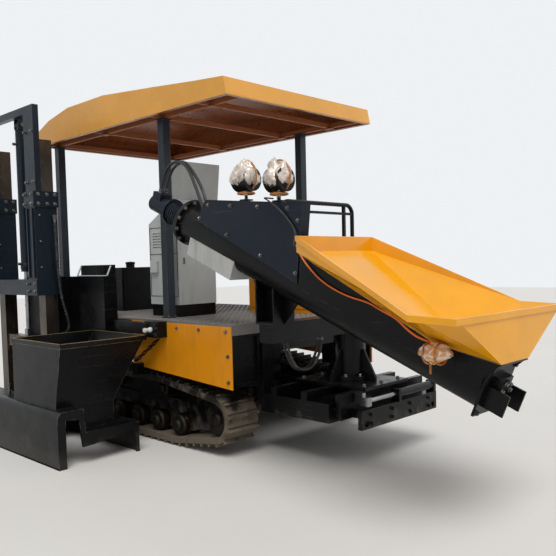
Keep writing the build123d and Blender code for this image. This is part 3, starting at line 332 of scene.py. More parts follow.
class Sheet:
    """A shader node tree that is being filled."""

    def __init__(self, tree: bpy.types.NodeTree) -> None:
        """Keep the tree that new nodes go into."""
        self.tree = tree

    def feed(self, target: Socket, value: Value) -> None:
        """Link a socket to a target, or set the target's own value."""
        if isinstance(value, Socket):
            self.tree.links.new(value, target)
        else:
            target.default_value = value

    def add(self, kind: str, values: tuple = (), settings: dict | None = None, **named: Value) -> bpy.types.Node:
        """Add a node.

        Args:
            kind: The node's class name after "ShaderNode".
            values: Inputs in order.
            settings: Attributes of the node.
            named: Inputs by name, with "_" for each space.

        Returns:
            The node.
        """
        node = self.tree.nodes.new("ShaderNode" + kind)
        for key, value in (settings or {}).items():
            setattr(node, key, value)
        for target, value in zip(node.inputs, values):
            self.feed(target, value)
        for key, value in named.items():
            self.feed(node.inputs[key.replace("_", " ")], value)
        return node

    def math(self, operation: str, a: Value, b: Value) -> Socket:
        """Add a clamped math node and return its value."""
        return self.add("Math", (a, b), {"operation": operation, "use_clamp": True}).outputs[0]

    def plus(self, a: Value, b: Value) -> Socket:
        """Add two values, clamped."""
        return self.math("ADD", a, b)

    def minus(self, a: Value, b: Value) -> Socket:
        """Subtract the second value from the first, clamped."""
        return self.math("SUBTRACT", a, b)

    def times(self, a: Value, b: Value) -> Socket:
        """Multiply two values, clamped."""
        return self.math("MULTIPLY", a, b)

    def most(self, a: Value, b: Value) -> Socket:
        """Take the larger of two values, clamped."""
        return self.math("MAXIMUM", a, b)

    def span(self, value: Value, low: float, high: float, to_low: Value = 0.0, to_high: Value = 1.0) -> Socket:
        """Map a value from one range to another, clamped, with a smooth start and end."""
        node = self.add("MapRange", (value, low, high, to_low, to_high), {"interpolation_type": "SMOOTHSTEP"})
        return node.outputs[0]

    def mix(self, share: Value, a: Value, b: Value) -> Socket:
        """Blend two colours by a share."""
        node = self.add("Mix", settings={"data_type": "RGBA"})
        for index, value in ((0, share), (6, a), (7, b)):
            self.feed(node.inputs[index], value)
        return node.outputs[2]

    def noise(self, where: Socket, scale: Value, detail: float = 4.0, stretch: Point = (1, 1, 1),
              rough: float = 0.55) -> Socket:
        """Noise from 0 to 1 over a place, its pattern scaled along each axis."""
        if stretch != (1, 1, 1):
            where = self.add("Mapping", Vector=where, Scale=stretch).outputs[0]
        return self.add("TexNoise", Vector=where, Scale=scale, Detail=detail, Roughness=rough).outputs["Fac"]


class Group:
    """A shared shader node group with named inputs and outputs."""

    def __init__(self, name: str, inputs: dict[str, float], outputs: tuple[str, ...]) -> None:
        """Make the empty group.

        Args:
            name: The group's name.
            inputs: Name and default of each number that goes in.
            outputs: Name of each number that comes out.
        """
        self.tree = bpy.data.node_groups.new(name, "ShaderNodeTree")
        for key, value in inputs.items():
            self.tree.interface.new_socket(key, in_out="INPUT", socket_type="NodeSocketFloat").default_value = value
        for key in outputs:
            self.tree.interface.new_socket(key, in_out="OUTPUT", socket_type="NodeSocketFloat")
        self.sheet = Sheet(self.tree)
        self.given = self.tree.nodes.new("NodeGroupInput").outputs
        self.result = self.tree.nodes.new("NodeGroupOutput").inputs
        self.spot = self.sheet.add("TexCoord").outputs["Object"]

    def give(self, **values: Value) -> None:
        """Link each result to an output by name, with "_" for each space."""
        for key, value in values.items():
            self.sheet.feed(self.result[key.replace("_", " ")], value)

    def into(self, sheet: Sheet, **values: Value) -> bpy.types.Node:
        """Place the group in a material's sheet with its own values, and return the node."""
        node = sheet.tree.nodes.new("ShaderNodeGroup")
        node.node_tree = self.tree
        for key, value in values.items():
            sheet.feed(node.inputs[key.replace("_", " ")], value)
        return node


def edge_wear() -> Group:
    """Build the mask of rubbed edges: where a rounded normal leaves the face's own, broken up by noise."""
    g = Group("edge wear", {"Radius": 0.006, "Breakup": 24.0, "Amount": 0.5}, ("Mask",))
    s = g.sheet
    rounded = s.add("Bevel", settings={"samples": 4}, Radius=g.given["Radius"]).outputs[0]
    face = s.add("NewGeometry").outputs["Normal"]
    alike = s.add("VectorMath", (rounded, face), {"operation": "DOT_PRODUCT"}).outputs["Value"]
    edge = s.span(s.minus(1.0, alike), 0.01, 0.22)
    broken = s.noise(g.spot, g.given["Breakup"], 6.0)
    patchy = s.noise(g.spot, 2.2, 3.0)
    kept = s.times(s.times(edge, broken), s.span(patchy, 0.3, 0.65, 0.4, 1.0))
    limit = s.minus(1.0, g.given["Amount"])
    g.give(Mask=s.span(s.minus(kept, s.times(limit, 0.5)), 0.02, 0.12))
    return g


def weather() -> Group:
    """Build masks of dust on faces that look up, of running grime, and of mud below a height."""
    g = Group("weather", {"Mud Height": 0.5, "Grime Scale": 5.0}, ("Dust", "Grime", "Mud"))
    s = g.sheet
    normal = s.add("SeparateXYZ", (s.add("NewGeometry").outputs["Normal"],)).outputs["Z"]
    height = s.add("SeparateXYZ", (g.spot,)).outputs["Z"]
    cloud = s.noise(g.spot, 3.1, 5.0)
    fine = s.noise(g.spot, 38.0, 5.0)
    up = s.span(normal, 0.35, 0.95)
    settled = s.plus(s.times(cloud, 0.7), s.times(fine, 0.3))
    dust = s.times(up, s.span(settled, 0.32, 0.68, 0.15, 1.0))
    runs = s.noise(g.spot, g.given["Grime Scale"], 6.0, (3.0, 3.0, 0.35))
    grime = s.times(s.span(runs, 0.46, 0.74), s.span(cloud, 0.35, 0.7, 0.2, 1.0))
    share = s.add("Math", (height, g.given["Mud Height"]), {"operation": "DIVIDE"}).outputs[0]
    splash = s.minus(s.plus(s.noise(g.spot, 9.0, 8.0), 0.28), s.times(share, 0.62))
    g.give(Dust=dust, Grime=grime, Mud=s.span(splash, 0.36, 0.66))
    return g


def paint_skin() -> Group:
    """Build the relief of sprayed paint: shallow waves in the sheet and a fine orange peel."""
    g = Group("paint skin", {"Peel": 0.35, "Dents": 0.4}, ("Height",))
    s = g.sheet
    peel = s.times(s.noise(g.spot, 420.0, 2.0), g.given["Peel"])
    dents = s.times(s.noise(g.spot, 3.4, 2.0), g.given["Dents"])
    g.give(Height=s.plus(s.times(peel, 0.3), dents))
    return g


def scratches() -> Group:
    """Build thin scuffs: two sets of noise drawn out along slanting lines, kept where they peak."""
    g = Group("scratches", {"Scale": 14.0, "Amount": 0.4}, ("Mask",))
    s = g.sheet
    found = []
    for turn, stretch in (((0.3, 0.2, 0.5), (0.12, 6.0, 5.0)), ((0.1, 0.7, -0.4), (5.0, 0.1, 7.0))):
        where = s.add("Mapping", Vector=g.spot, Rotation=turn, Scale=stretch).outputs[0]
        found.append(s.span(s.noise(where, g.given["Scale"], 2.0), 0.66, 0.72))
    both = s.most(*found)
    patch = s.span(s.noise(g.spot, 1.7, 3.0), 0.45, 0.62)
    g.give(Mask=s.times(s.times(both, patch), g.given["Amount"]))
    return g


def rust_bloom() -> Group:
    """Build patches of rust with a ragged rim, from two scales of noise."""
    g = Group("rust bloom", {"Amount": 0.4, "Scale": 6.0}, ("Mask", "Depth"))
    s = g.sheet
    wide = s.noise(g.spot, g.given["Scale"], 8.0, rough=0.65)
    small = s.noise(g.spot, 90.0, 4.0)
    raised = s.plus(wide, s.times(g.given["Amount"], 0.4))
    g.give(Mask=s.span(s.plus(raised, s.times(small, 0.08)), 0.68, 0.8), Depth=small)
    return g


@dataclass(frozen=True)
class Effects:
    """The shared groups, built once."""

    edge: Group
    weather: Group
    skin: Group
    scratch: Group
    rust: Group


EFFECTS = Effects(edge_wear(), weather(), paint_skin(), scratches(), rust_bloom())


# Finishes


MUD_ON_PAINT = "8b8070"
MUD_ON_STEEL = "857866"


class Coating:
    """What every finish shares: a material with its Principled shader and its sheet."""

    def start(self, name: str) -> tuple[Material, Sheet, bpy.types.Node, Socket]:
        """Make the material.

        Args:
            name: Its name.

        Returns:
            The material, its sheet, its Principled node and the place on the object.
        """
        material = bpy.data.materials.new(name)
        material.use_nodes = True
        sheet = Sheet(material.node_tree)
        spot = sheet.add("TexCoord").outputs["Object"]
        return material, sheet, material.node_tree.nodes["Principled BSDF"], spot

    def relief(self, sheet: Sheet, shader: bpy.types.Node, height: Socket, strength: float, depth: float) -> None:
        """Put a height through a Bump node into the shader's normal."""
        bump = sheet.add("Bump", Height=height, Strength=strength, Distance=depth)
        sheet.feed(shader.inputs["Normal"], bump.outputs[0])


@dataclass(frozen=True)
class Paint(Coating):
    """Sprayed paint on sheet steel, rubbed at its edges, with dust, grime and splashed mud."""

    colour: str
    gloss: float = 0.38
    worn: str = "6f6a64"
    wear: float = 0.45
    radius: float = 0.005
    dust: float = 0.35
    grime: float = 0.3
    mud: float = 0.6
    mud_height: float = 0.55
    scuffs: float = 0.25
    peel: float = 0.35
    dust_colour: str = "a59c8e"
    grime_colour: str = "3a332b"
    # colour of the faces turned towards the heart; on the roof it is painted shade of the underside
    inside: str | None = None
    heart: Point = (0.0, 0.0, 0.0)
    specular: float = 0.5

    def turned_in(self, s: Sheet, spot: Socket) -> Socket:
        """Mask the faces that look towards the sheet's own middle: their normal and outward arm point apart. On the
        roof these faces take painted shade.
        """
        arm = s.add("VectorMath", (spot, self.heart), {"operation": "SUBTRACT"}).outputs["Vector"]
        normal = s.add("NewGeometry").outputs["Normal"]
        facing = s.add("VectorMath", (normal, arm), {"operation": "DOT_PRODUCT"}).outputs["Value"]
        return s.span(facing, -0.002, 0.002, 1.0, 0.0)

    def make(self, name: str) -> Material:
        """Build the painted finish and return its material."""
        material, s, shader, spot = self.start(name)
        base = paint_colour(self.colour)
        faded = (*(min(1.0, c * 0.88 + 0.003) for c in base[:3]), 1.0)
        air = EFFECTS.weather.into(s, Mud_Height=self.mud_height).outputs
        edge = EFFECTS.edge.into(s, Radius=self.radius, Amount=self.wear).outputs["Mask"]
        scuff = EFFECTS.scratch.into(s, Amount=self.scuffs).outputs["Mask"]
        tone = s.mix(s.span(s.noise(spot, 2.3, 3.0), 0.3, 0.7), base, faded)
        # faces turned towards the heart take the inside colour: on the roof this is painted shade, the orange darker
        # under the sheet
        if self.inside:
            tone = s.mix(self.turned_in(s, spot), tone, paint_colour(self.inside))
        tone = s.mix(s.times(air["Grime"], self.grime), tone, paint_colour(self.grime_colour))
        tone = s.mix(s.times(air["Dust"], self.dust), tone, paint_colour(self.dust_colour))
        bare = s.most(edge, scuff)
        tone = s.mix(bare, tone, paint_colour(self.worn))
        mud = s.times(air["Mud"], self.mud)
        tone = s.mix(mud, tone, paint_colour(MUD_ON_PAINT))
        s.feed(shader.inputs["Base Color"], tone)
        sheen = s.span(s.noise(spot, 6.0, 4.0), 0.3, 0.7, self.gloss - 0.05, self.gloss + 0.08)
        matt = s.times(s.plus(mud, s.times(air["Dust"], self.dust)), 0.45)
        s.feed(shader.inputs["Roughness"], s.plus(sheen, matt))
        s.feed(shader.inputs["Metallic"], s.times(bare, 0.7))
        shader.inputs["Specular IOR Level"].default_value = self.specular
        skin = EFFECTS.skin.into(s, Peel=self.peel).outputs["Height"]
        height = s.minus(s.plus(skin, s.times(mud, 0.4)), s.times(bare, 0.25))
        self.relief(s, shader, height, 0.35, 0.004)
        return material


@dataclass(frozen=True)
class Steel(Coating):
    """Bare steel with a brushed grain, grease and a little rust."""

    colour: str
    polish: float = 0.35
    rust: float = 0.3
    grain: Point = (1.0, 1.0, 0.06)
    mud: float = 0.0
    edge_colour: str = "a8a49c"
    rust_colour: str = "6b3a20"

    def make(self, name: str) -> Material:
        """Build the bare finish and return its material."""
        material, s, shader, spot = self.start(name)
        base = paint_colour(self.colour)
        dark = (*(c * 0.55 for c in base[:3]), 1.0)
        lines = s.noise(spot, 160.0, 3.0, self.grain)
        rust = EFFECTS.rust.into(s, Amount=self.rust).outputs
        edge = EFFECTS.edge.into(s, Radius=0.004, Amount=0.7).outputs["Mask"]
        tone = s.mix(s.span(s.noise(spot, 4.0, 5.0), 0.3, 0.7), base, dark)
        tone = s.mix(s.times(lines, 0.35), tone, dark)
        tone = s.mix(edge, tone, paint_colour(self.edge_colour))
        tone = s.mix(s.times(rust["Mask"], 0.85), tone, paint_colour(self.rust_colour))
        mud = s.times(EFFECTS.weather.into(s, Mud_Height=0.9).outputs["Mud"], self.mud)
        tone = s.mix(mud, tone, paint_colour(MUD_ON_STEEL))
        s.feed(shader.inputs["Base Color"], tone)
        matt = s.most(rust["Mask"], mud)
        s.feed(shader.inputs["Metallic"], s.minus(0.9, matt))
        sheen = s.span(lines, 0.3, 0.7, self.polish - 0.06, self.polish + 0.1)
        s.feed(shader.inputs["Roughness"], s.plus(sheen, s.times(matt, 0.5)))
        height = s.plus(s.times(lines, 0.2), s.times(rust["Depth"], 0.3))
        self.relief(s, shader, s.plus(height, s.times(mud, 0.4)), 0.3, 0.003)
        return material


@dataclass(frozen=True)
class Rubber(Coating):
    """Black or coloured sheath, or moulded rubber, with dust in its pores."""

    colour: str
    gloss: float = 0.5

    def make(self, name: str) -> Material:
        """Build the rubber finish and return its material."""
        material, s, shader, spot = self.start(name)
        base = paint_colour(self.colour)
        dusty = (*(min(1.0, c * 0.7 + 0.09) for c in base[:3]), 1.0)
        pores = s.noise(spot, 300.0, 3.0)
        patch = s.noise(spot, 12.0, 5.0)
        s.feed(shader.inputs["Base Color"], s.mix(s.span(patch, 0.45, 0.8), base, dusty))
        s.feed(shader.inputs["Roughness"], s.span(patch, 0.3, 0.7, self.gloss, self.gloss + 0.2))
        self.relief(s, shader, pores, 0.25, 0.001)
        return material


@dataclass(frozen=True)
class Film(Coating):
    """Clear packing film, crinkled, with a milky haze in its folds."""

    tint: str = "f3efe6"
    haze: float = 0.35

    def make(self, name: str) -> Material:
        """Build the film and return its material."""
        material, s, shader, spot = self.start(name)
        folds = s.add("TexVoronoi", settings={"feature": "DISTANCE_TO_EDGE"}, Vector=spot, Scale=18.0).outputs[0]
        crease = s.span(folds, 0.0, 0.3, 1.0, 0.0)
        s.feed(shader.inputs["Base Color"], s.mix(crease, paint_colour(self.tint), (1.0, 1.0, 1.0, 1.0)))
        s.feed(shader.inputs["Roughness"], s.span(folds, 0.0, 0.25, 0.3, 0.06))
        s.feed(shader.inputs["Alpha"], s.plus(s.times(crease, 0.3), self.haze))
        shader.inputs["IOR"].default_value = 1.45
        self.relief(s, shader, s.plus(folds, s.noise(spot, 25.0, 4.0)), 0.9, 0.01)
        return material


@dataclass(frozen=True)
class Plain(Coating):
    """A small item's own colour, a little uneven, such as tape, foil, a gauge's glass or a white cap."""

    colour: str
    rough: float = 0.4
    metal: float = 0.0
    second: str = "2a2622"
    share: float = 0.3
    scale: float = 20.0

    def make(self, name: str) -> Material:
        """Build the finish and return its material."""
        material, s, shader, spot = self.start(name)
        patch = s.noise(spot, self.scale, 5.0)
        mask = s.times(s.span(patch, 0.45, 0.7), self.share)
        s.feed(shader.inputs["Base Color"], s.mix(mask, paint_colour(self.colour), paint_colour(self.second)))
        s.feed(shader.inputs["Roughness"], s.span(patch, 0.3, 0.7, self.rough, self.rough + 0.12))
        shader.inputs["Metallic"].default_value = self.metal
        self.relief(s, shader, patch, 0.15, 0.001)
        return material


@dataclass(frozen=True)
class Finishes:
    """Every material of the machine, made once."""

    roof: Material
    orange_painted_shade: Material
    yellow: Material
    hopper: Material
    black: Material
    slate: Material
    post: Material
    navy: Material
    charcoal: Material
    cabinet: Material
    chute: Material
    deck: Material
    track: Material
    roller: Material
    ground_steel: Material
    rod: Material
    screw: Material
    bolt: Material
    dark_bolt: Material
    rubber: Material
    orange: Material
    film: Material
    amber_film: Material
    tape: Material
    lens: Material
    foil: Material
    amber: Material
    cap: Material
    worn_rim: Material


def make_finishes() -> Finishes:
    """Build the machine's materials from their colours and wear."""
    return Finishes(
        # roof ochre; its inside colour 8a4a22 is painted shade: the same orange, darker on the underside
        roof=Paint("e29f36", 0.3, wear=0.1, dust=0.06, grime=0.03, mud=0.0, scuffs=0.08, inside="8a4a22",
                   heart=place(-1.55, 0.933, 2.9)).make("roof ochre, underside painted shade"),
        # canopy frame and clips: the roof's orange with painted shade, darker as seen under the roof
        orange_painted_shade=Paint("9a5626", 0.55, wear=0.2, dust=0.05, grime=0.3, mud=0.0, scuffs=0.2).make("canopy orange with painted shade"),
        yellow=Paint("e08e0c", 0.33, specular=0.4, wear=0.3, dust=0.1, grime=0.25, mud=0.25,
                     scuffs=0.3).make("body yellow"),
        hopper=Paint("f2a600", 0.16, specular=0.5, wear=0.1, dust=0.0, grime=0.0, mud=0.0,
                     scuffs=0.05).make("hopper yellow"),
        black=Paint("060709", 0.3, specular=0.16, wear=0.25, dust=0.05, grime=0.3, mud=0.25, scuffs=0.2,
                    dust_colour="6b665e", grime_colour="15130f").make("frame black"),
        slate=Paint("101d28", 0.32, specular=0.22, wear=0.3, dust=0.06, grime=0.4, mud=0.06, scuffs=0.25,
                    dust_colour="6b665e", grime_colour="100e0c").make("mast slate blue"),
        post=Paint("1f2a33", 0.38, specular=0.3, wear=0.3, dust=0.06, grime=0.45, mud=0.0, scuffs=0.3,
                   grime_colour="15130f").make("post grey blue"),
        navy=Paint("081522", 0.32, specular=0.2, wear=0.25, dust=0.06, grime=0.3, mud=0.0, scuffs=0.25,
                   dust_colour="757068", grime_colour="100e0c").make("conveyor navy"),
        charcoal=Paint("050608", 0.3, specular=0.18, worn="8d8378", wear=0.45, dust=0.02, grime=0.2, mud=0.08,
                       mud_height=0.3, scuffs=0.15, radius=0.008, dust_colour="6f6a62",
                       grime_colour="12100e").make("mould charcoal"),
        cabinet=Paint("c3c6c3", 0.45, wear=0.15, dust=0.2, grime=0.25, mud=0.0, scuffs=0.1,
                      peel=0.7).make("cabinet grey"),
        chute=Paint("b3b4b0", 0.5, worn="6b3523", wear=0.6, dust=0.2, grime=0.5, mud=0.0, scuffs=0.5,
                    inside="7a4326", heart=place(-0.06, 0.03, 1.66)).make("chute grey"),
        deck=Paint("6e6a66", 0.5, wear=0.5, dust=0.5, grime=0.6, mud=0.1, scuffs=0.5,
                   dust_colour="7b746b").make("deck grey"),
        track=Steel("3a342f", 0.5, 0.12, (1, 1, 1), mud=0.55, edge_colour="8b8378").make("track steel"),
        roller=Steel("141210", 0.42, 0.05, (1, 1, 1), mud=0.08, edge_colour="5d574f").make("roller iron"),
        ground_steel=Steel("5f574e", 0.32, 0.12, (1.0, 1.0, 0.05), edge_colour="8f877b").make("ground steel"),
        rod=Steel("9a9c9e", 0.16, 0.0, (1.0, 1.0, 0.3)).make("chromed rod"),
        screw=Steel("5e564d", 0.4, 0.45, (1, 1, 1)).make("screw steel"),
        bolt=Steel("77746f", 0.35, 0.1, (1, 1, 1)).make("zinc bolt"),
        dark_bolt=Steel("2b2a29", 0.4, 0.05, (1, 1, 1), edge_colour="77746f").make("black bolt"),
        rubber=Rubber("17181a").make("black hose"),
        orange=Rubber("e2701c", 0.42).make("orange sheath"),
        film=Film(haze=0.06).make("clear film"),
        amber_film=Film(tint="f5b040", haze=0.35).make("amber film"),
        tape=Plain("a9672a", 0.3, second="d8912f", share=0.6, scale=30.0).make("packing tape"),
        lens=Plain("dfe4e6", 0.08, second="9aa3a8", share=0.4).make("lamp lens"),
        foil=Plain("dccbb8", 0.25, 0.45, second="6a3a14", share=0.75, scale=7.0).make("crumpled foil"),
        amber=Plain("f2b45c", 0.3, 0.2, second="b85a14", share=0.7, scale=9.0).make("amber wrap"),
        cap=Plain("d9d8d2", 0.4, second="8d8a80", share=0.4).make("white cap"),
        worn_rim=Plain("8e7442", 0.45, 0.6, second="4d4436", share=0.7, scale=9.0).make("worn rim"),
    )


# Camera and studio


@dataclass(frozen=True)
class Studio:
    """Camera at the photograph's viewing angle, pale floor and soft light."""

    eye: Point = (4.515, -4.002, 1.6)
    yaw: float = 134.31
    pitch: float = -3.453
    roll: float = 1.333
    focal_px: float = 681.0
    image_px: float = 556.0
    centre_px: tuple[float, float] = (277.5, 303.0)
    sensor: float = 36.0
    floor_size: float = 60.0
    floor_tones: tuple[str, str] = ("dad7d2", "d7d4cf")
    sky_light: tuple[float, ...] = (0.93, 0.96, 1.0, 1.0)
    sky_seen: tuple[float, ...] = (0.86, 0.88, 0.9, 1.0)
    sky_strength: float = 0.46
    suns: tuple[tuple[str, float, float, Point], ...] = (("key", 2.1, 35.0, (30.0, 8.0, 35.0)),
                                                         ("fill", 0.3, 60.0, (60.0, 0.0, 150.0)))

    def view_axes(self) -> Array:
        """Work out the camera's axes.

        Returns:
            Right, up and backward directions as rows: the level forward direction at the yaw and pitch, its right
            hand and its down direction, then both turned by the roll.
        """
        yaw, pitch, roll = (math.radians(a) for a in (self.yaw, self.pitch, self.roll))
        ahead = np.array([math.cos(pitch) * math.cos(yaw), math.cos(pitch) * math.sin(yaw), math.sin(pitch)])
        level = np.array([math.sin(yaw), -math.cos(yaw), 0.0])
        down = np.cross(ahead, level)
        right = math.cos(roll) * level + math.sin(roll) * down
        return np.array([right, math.sin(roll) * level - math.cos(roll) * down, -ahead])

    def add_camera(self) -> None:
        """Set up the scene's camera; the shift moves the principal point off the image's middle."""
        data = bpy.data.cameras.new("camera")
        data.sensor_width = self.sensor
        data.lens = self.focal_px / self.image_px * self.sensor
        data.shift_x = (self.image_px / 2 - self.centre_px[0]) / self.image_px
        data.shift_y = (self.centre_px[1] - self.image_px / 2) / self.image_px
        data.clip_end = 200.0
        camera = bpy.data.objects.new("camera", data)
        axes = np.eye(4)
        axes[:3, :3] = self.view_axes().T
        axes[:3, 3] = self.eye
        camera.matrix_world = Matrix(axes.tolist())
        bpy.context.scene.collection.objects.link(camera)
        bpy.context.scene.camera = camera

    def add_floor(self) -> None:
        """Lay a pale floor under the machine: one large square at the ground's height."""
        half = self.floor_size / 2
        mesh = bpy.data.meshes.new("floor")
        mesh.from_pydata([(-half, -half, 0), (half, -half, 0), (half, half, 0), (-half, half, 0)], [], [(0, 1, 2, 3)])
        material, sheet, shader, spot = Coating().start("pale floor")
        patch = sheet.span(sheet.noise(spot, 0.8, 6.0), 0.3, 0.7)
        sheet.feed(shader.inputs["Base Color"], sheet.mix(patch, *(paint_colour(c) for c in self.floor_tones)))
        shader.inputs["Roughness"].default_value = 0.7
        mesh.materials.append(material)
        floor = bpy.data.objects.new("floor", mesh)
        bpy.context.scene.collection.objects.link(floor)

    def add_light(self) -> None:
        """Light the machine from an even pale sky and two soft suns, a broad one from the right and a weak one.

        The sky is brighter where it is seen, mirrored or looked through than where it lights the machine.
        """
        world = bpy.data.worlds.new("studio")
        world.use_nodes = True
        sheet = Sheet(world.node_tree)
        sky = world.node_tree.nodes["Background"]
        path = sheet.add("LightPath").outputs
        seen = sheet.most(sheet.most(path["Is Camera Ray"], path["Is Glossy Ray"]), path["Is Transmission Ray"])
        sheet.feed(sky.inputs["Color"], sheet.mix(seen, self.sky_light, self.sky_seen))
        sheet.feed(sky.inputs["Strength"], sheet.span(seen, 0.0, 1.0, self.sky_strength, 1.0))
        bpy.context.scene.world = world
        for name, strength, angle, turn in self.suns:
            data = bpy.data.lights.new(name, "SUN")
            data.energy = strength
            data.angle = math.radians(angle)
            light = bpy.data.objects.new(name, data)
            light.rotation_euler = [math.radians(a) for a in turn]
            bpy.context.scene.collection.objects.link(light)

    def build(self) -> None:
        """Make camera, floor and light, with the plain view transform."""
        bpy.context.scene.view_settings.view_transform = "Standard"
        self.add_camera()
        self.add_floor()
        self.add_light()


def dress_frame(finish: Finishes) -> None:
    """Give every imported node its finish."""
    dress(finish.roof, "canopy_roof", "lifting_eyes")
    # the canopy frame takes the roof's orange with painted shade
    dress(finish.orange_painted_shade, "canopy_frame")
    dress(finish.yellow, "front_panel_left", "front_panel_right", "rear_panel_left", "rear_panel_right", "engine_hood")
    dress(finish.hopper, "feed_hopper")
    dress(finish.black, "track_frame_left", "track_frame_right", "main_frame", "front_box_left", "front_box_right",
          "front_tray", "front_beam", "slide_rails", "carriage", "turret_head", "conveyor_tube", "tail_bearing",
          "handrail", "console_plinth", "hydraulic_tank", "tow_bracket", "mast_box", "lateral_tubes", "shift_barrel",
          "work_lamps", "engine", "valve_box", "trough_plates")
    dress(finish.slate, "mast_frame", "lift_barrel")
    dress(finish.post, "canopy_posts")
    dress(finish.navy, "conveyor_guard", "drive_motor")
    dress(finish.charcoal, "mould", "mould_hopper")
    dress(finish.cabinet, "console_cabinet", "console_lid")
    dress(finish.chute, "discharge_chute")
    dress(finish.deck, "deck_plate")
    dress(finish.track, "track_left", "track_right")
    dress(finish.roller, "rollers_left", "rollers_right")
    dress(finish.ground_steel, "guide_columns")
    dress(finish.rod, "shift_rod", "lift_rod")
    dress(finish.screw, "auger")
    dress(finish.dark_bolt, "tow_chain")


# Small forms shared by the sub-assemblies


def upright(start: Array, end: Array) -> Point:
    """Pick a direction that leans away from a line: up, or ahead where the line is steep."""
    return (0, 0, 1) if abs(end[2] - start[2]) < 0.8 * np.linalg.norm(end - start) else (1, 0, 0)


def hex_bolt(across: float) -> Surface:
    """Build a bolt head standing on its origin: a washer, six flats and a chamfered crown.

    Args:
        across: Width across the corners.

    Returns:
        The head, its axis along Z.
    """
    r, base = across / 2, across * 0.12
    head = [(0, base), (r, base), (r, base + r * 0.95), (r * 0.82, base + r * 1.15), (0, base + r * 1.15)]
    washer = [(0, -0.001), (r * 1.35, -0.001), (r * 1.35, base * 0.7), (r * 1.25, base), (0, base)]
    return join([turned_form(head, 6), turned_form(washer, 18)])


def bolts(across: float, stations: Iterable[Point], towards: Point, spin: float = 0.5) -> Surface:
    """Stand bolt heads at stations.

    Args:
        across: Width across their corners.
        stations: Their places.
        towards: Direction that they all face.
        spin: Turn from one head to the next, in radians.

    Returns:
        All heads as one surface.
    """
    return scattered(hex_bolt(across), [place(*s) for s in stations], towards, spin)


def bead(start: Point, end: Point, width: float, seed: int) -> Surface:
    """Build a weld bead between two stations: a ridge whose height is stepped like laid ripples.

    At step k along the line the radius is width (0.8 + 0.2 |sin(1.3 k)|) plus a seeded unevenness.
    """
    start, end = np.array(place(*start)), np.array(place(*end))
    count = max(12, int(float(np.linalg.norm(end - start)) / width * 1.6))
    s = np.linspace(0, 1, count)
    path = start + (end - start) * s[:, None]
    tube = swept(circle(6), path, upright(start, end))
    rows = tube.points.reshape(count + 2, 6, 3)
    size = width * (0.8 + 0.2 * np.abs(np.sin(s * count * 1.3)) + 0.12 * ripple(path / width * 0.3, seed))
    centre = np.concatenate([path[:1], path, path[-1:]])[:, None]
    size = np.concatenate([size[:1], size, size[-1:]])[:, None, None]
    return Surface((centre + (rows - centre) * size).reshape(-1, 3), tube.quads)


def rod(start: Point, end: Point, radius: float, sides: int = 12) -> Surface:
    """Build a round bar between two stations."""
    path = np.linspace(place(*start), place(*end), 3)
    return swept(circle(sides) * radius, path, upright(path[0], path[-1]))


def block(low: Point, high: Point, radius: float) -> Surface:
    """Build a chamfered block between two corners given in stations."""
    return rounded_box(place(*low), place(*high), radius)


def hoop(centre: Point, radii: tuple[float, float], tube: float, axes: Array) -> Surface:
    """Build a closed ring of round section: an ellipse in the plane of the first two axes."""
    path = np.array(place(*centre)) + circle(48) * radii @ axes[:2]
    return swept(circle(8) * tube, path, tuple(axes[2]), True)


def lump(centre: Point, size: Point, seed: int, neck: float) -> Surface:
    """Build a crumpled wrapping: a sphere of directions whose radius carries broad waves and sharp folds.

    The radius is 1 + 0.09 ripple(2.2 d) + 0.07 (|ripple(5 d)| - 0.6) for each direction d; below the middle the
    width narrows to the neck's share of itself.

    Args:
        centre: Its middle, in stations.
        size: Half extents.
        seed: Seed of the folds.
        neck: Share of the width that is left at the bottom.

    Returns:
        The closed surface.
    """
    rows, columns = 44, 60
    t = np.linspace(0, math.pi, rows)[:, None]
    p = np.arange(columns) * 2 * math.pi / columns
    d = np.stack([np.sin(t) * np.cos(p), np.sin(t) * np.sin(p), np.cos(t) * np.ones_like(p)], -1).reshape(-1, 3)
    radius = 1 + 0.09 * ripple(d * 2.2, seed) + 0.07 * (np.abs(ripple(d * 5.0, seed + 1)) - 0.6)
    radius.reshape(rows, columns)[[0, -1]] = 1.0
    points = d * radius[:, None]
    low = np.clip(-d[:, 2] * 1.3 - 0.1, 0, 1)
    points[:, :2] *= (1 - (1 - neck) * low * low * (3 - 2 * low))[:, None]
    return Surface(points * size + np.array(place(*centre)), grid_quads(rows, columns, False, True))


def inside_box(surface: Surface) -> Surface:
    """Hold a surface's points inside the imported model's box."""
    return Surface(np.clip(surface.points, *np.array(CAD_BOX)), surface.quads)


@dataclass(frozen=True)
class TubeAxis:
    """The screw conveyor's axis: stations along and above it."""

    start: Point = (0.108, 0.03, 1.706)
    slope: float = 21.8

    def frame(self) -> Array:
        """Return the directions up, across and along the tube as rows."""
        c, s = math.cos(math.radians(self.slope)), math.sin(math.radians(self.slope))
        return np.array([(s, 0, c), (0, -1, 0), (c, 0, -s)], float)

    def at(self, along: float, up: float = 0.0, side: float = 0.0) -> Point:
        """Return the stations of a point along, above and beside the axis."""
        (s, _, c), _, _ = self.frame().tolist()
        return (self.start[0] + along * c + up * s, self.start[1] + side, self.start[2] - along * s + up * c)

    def ring(self, along: float, radius: float, count: int, phase: float = 0.5) -> Array:
        """Space points round the axis, in model metres, the first one a share of a step from the top."""
        turn = circle(count, phase * 2 * math.pi / count)
        return np.array(place(*self.at(along))) + radius * turn @ self.frame()[:2]


TUBE = TubeAxis()


# Sub-assemblies


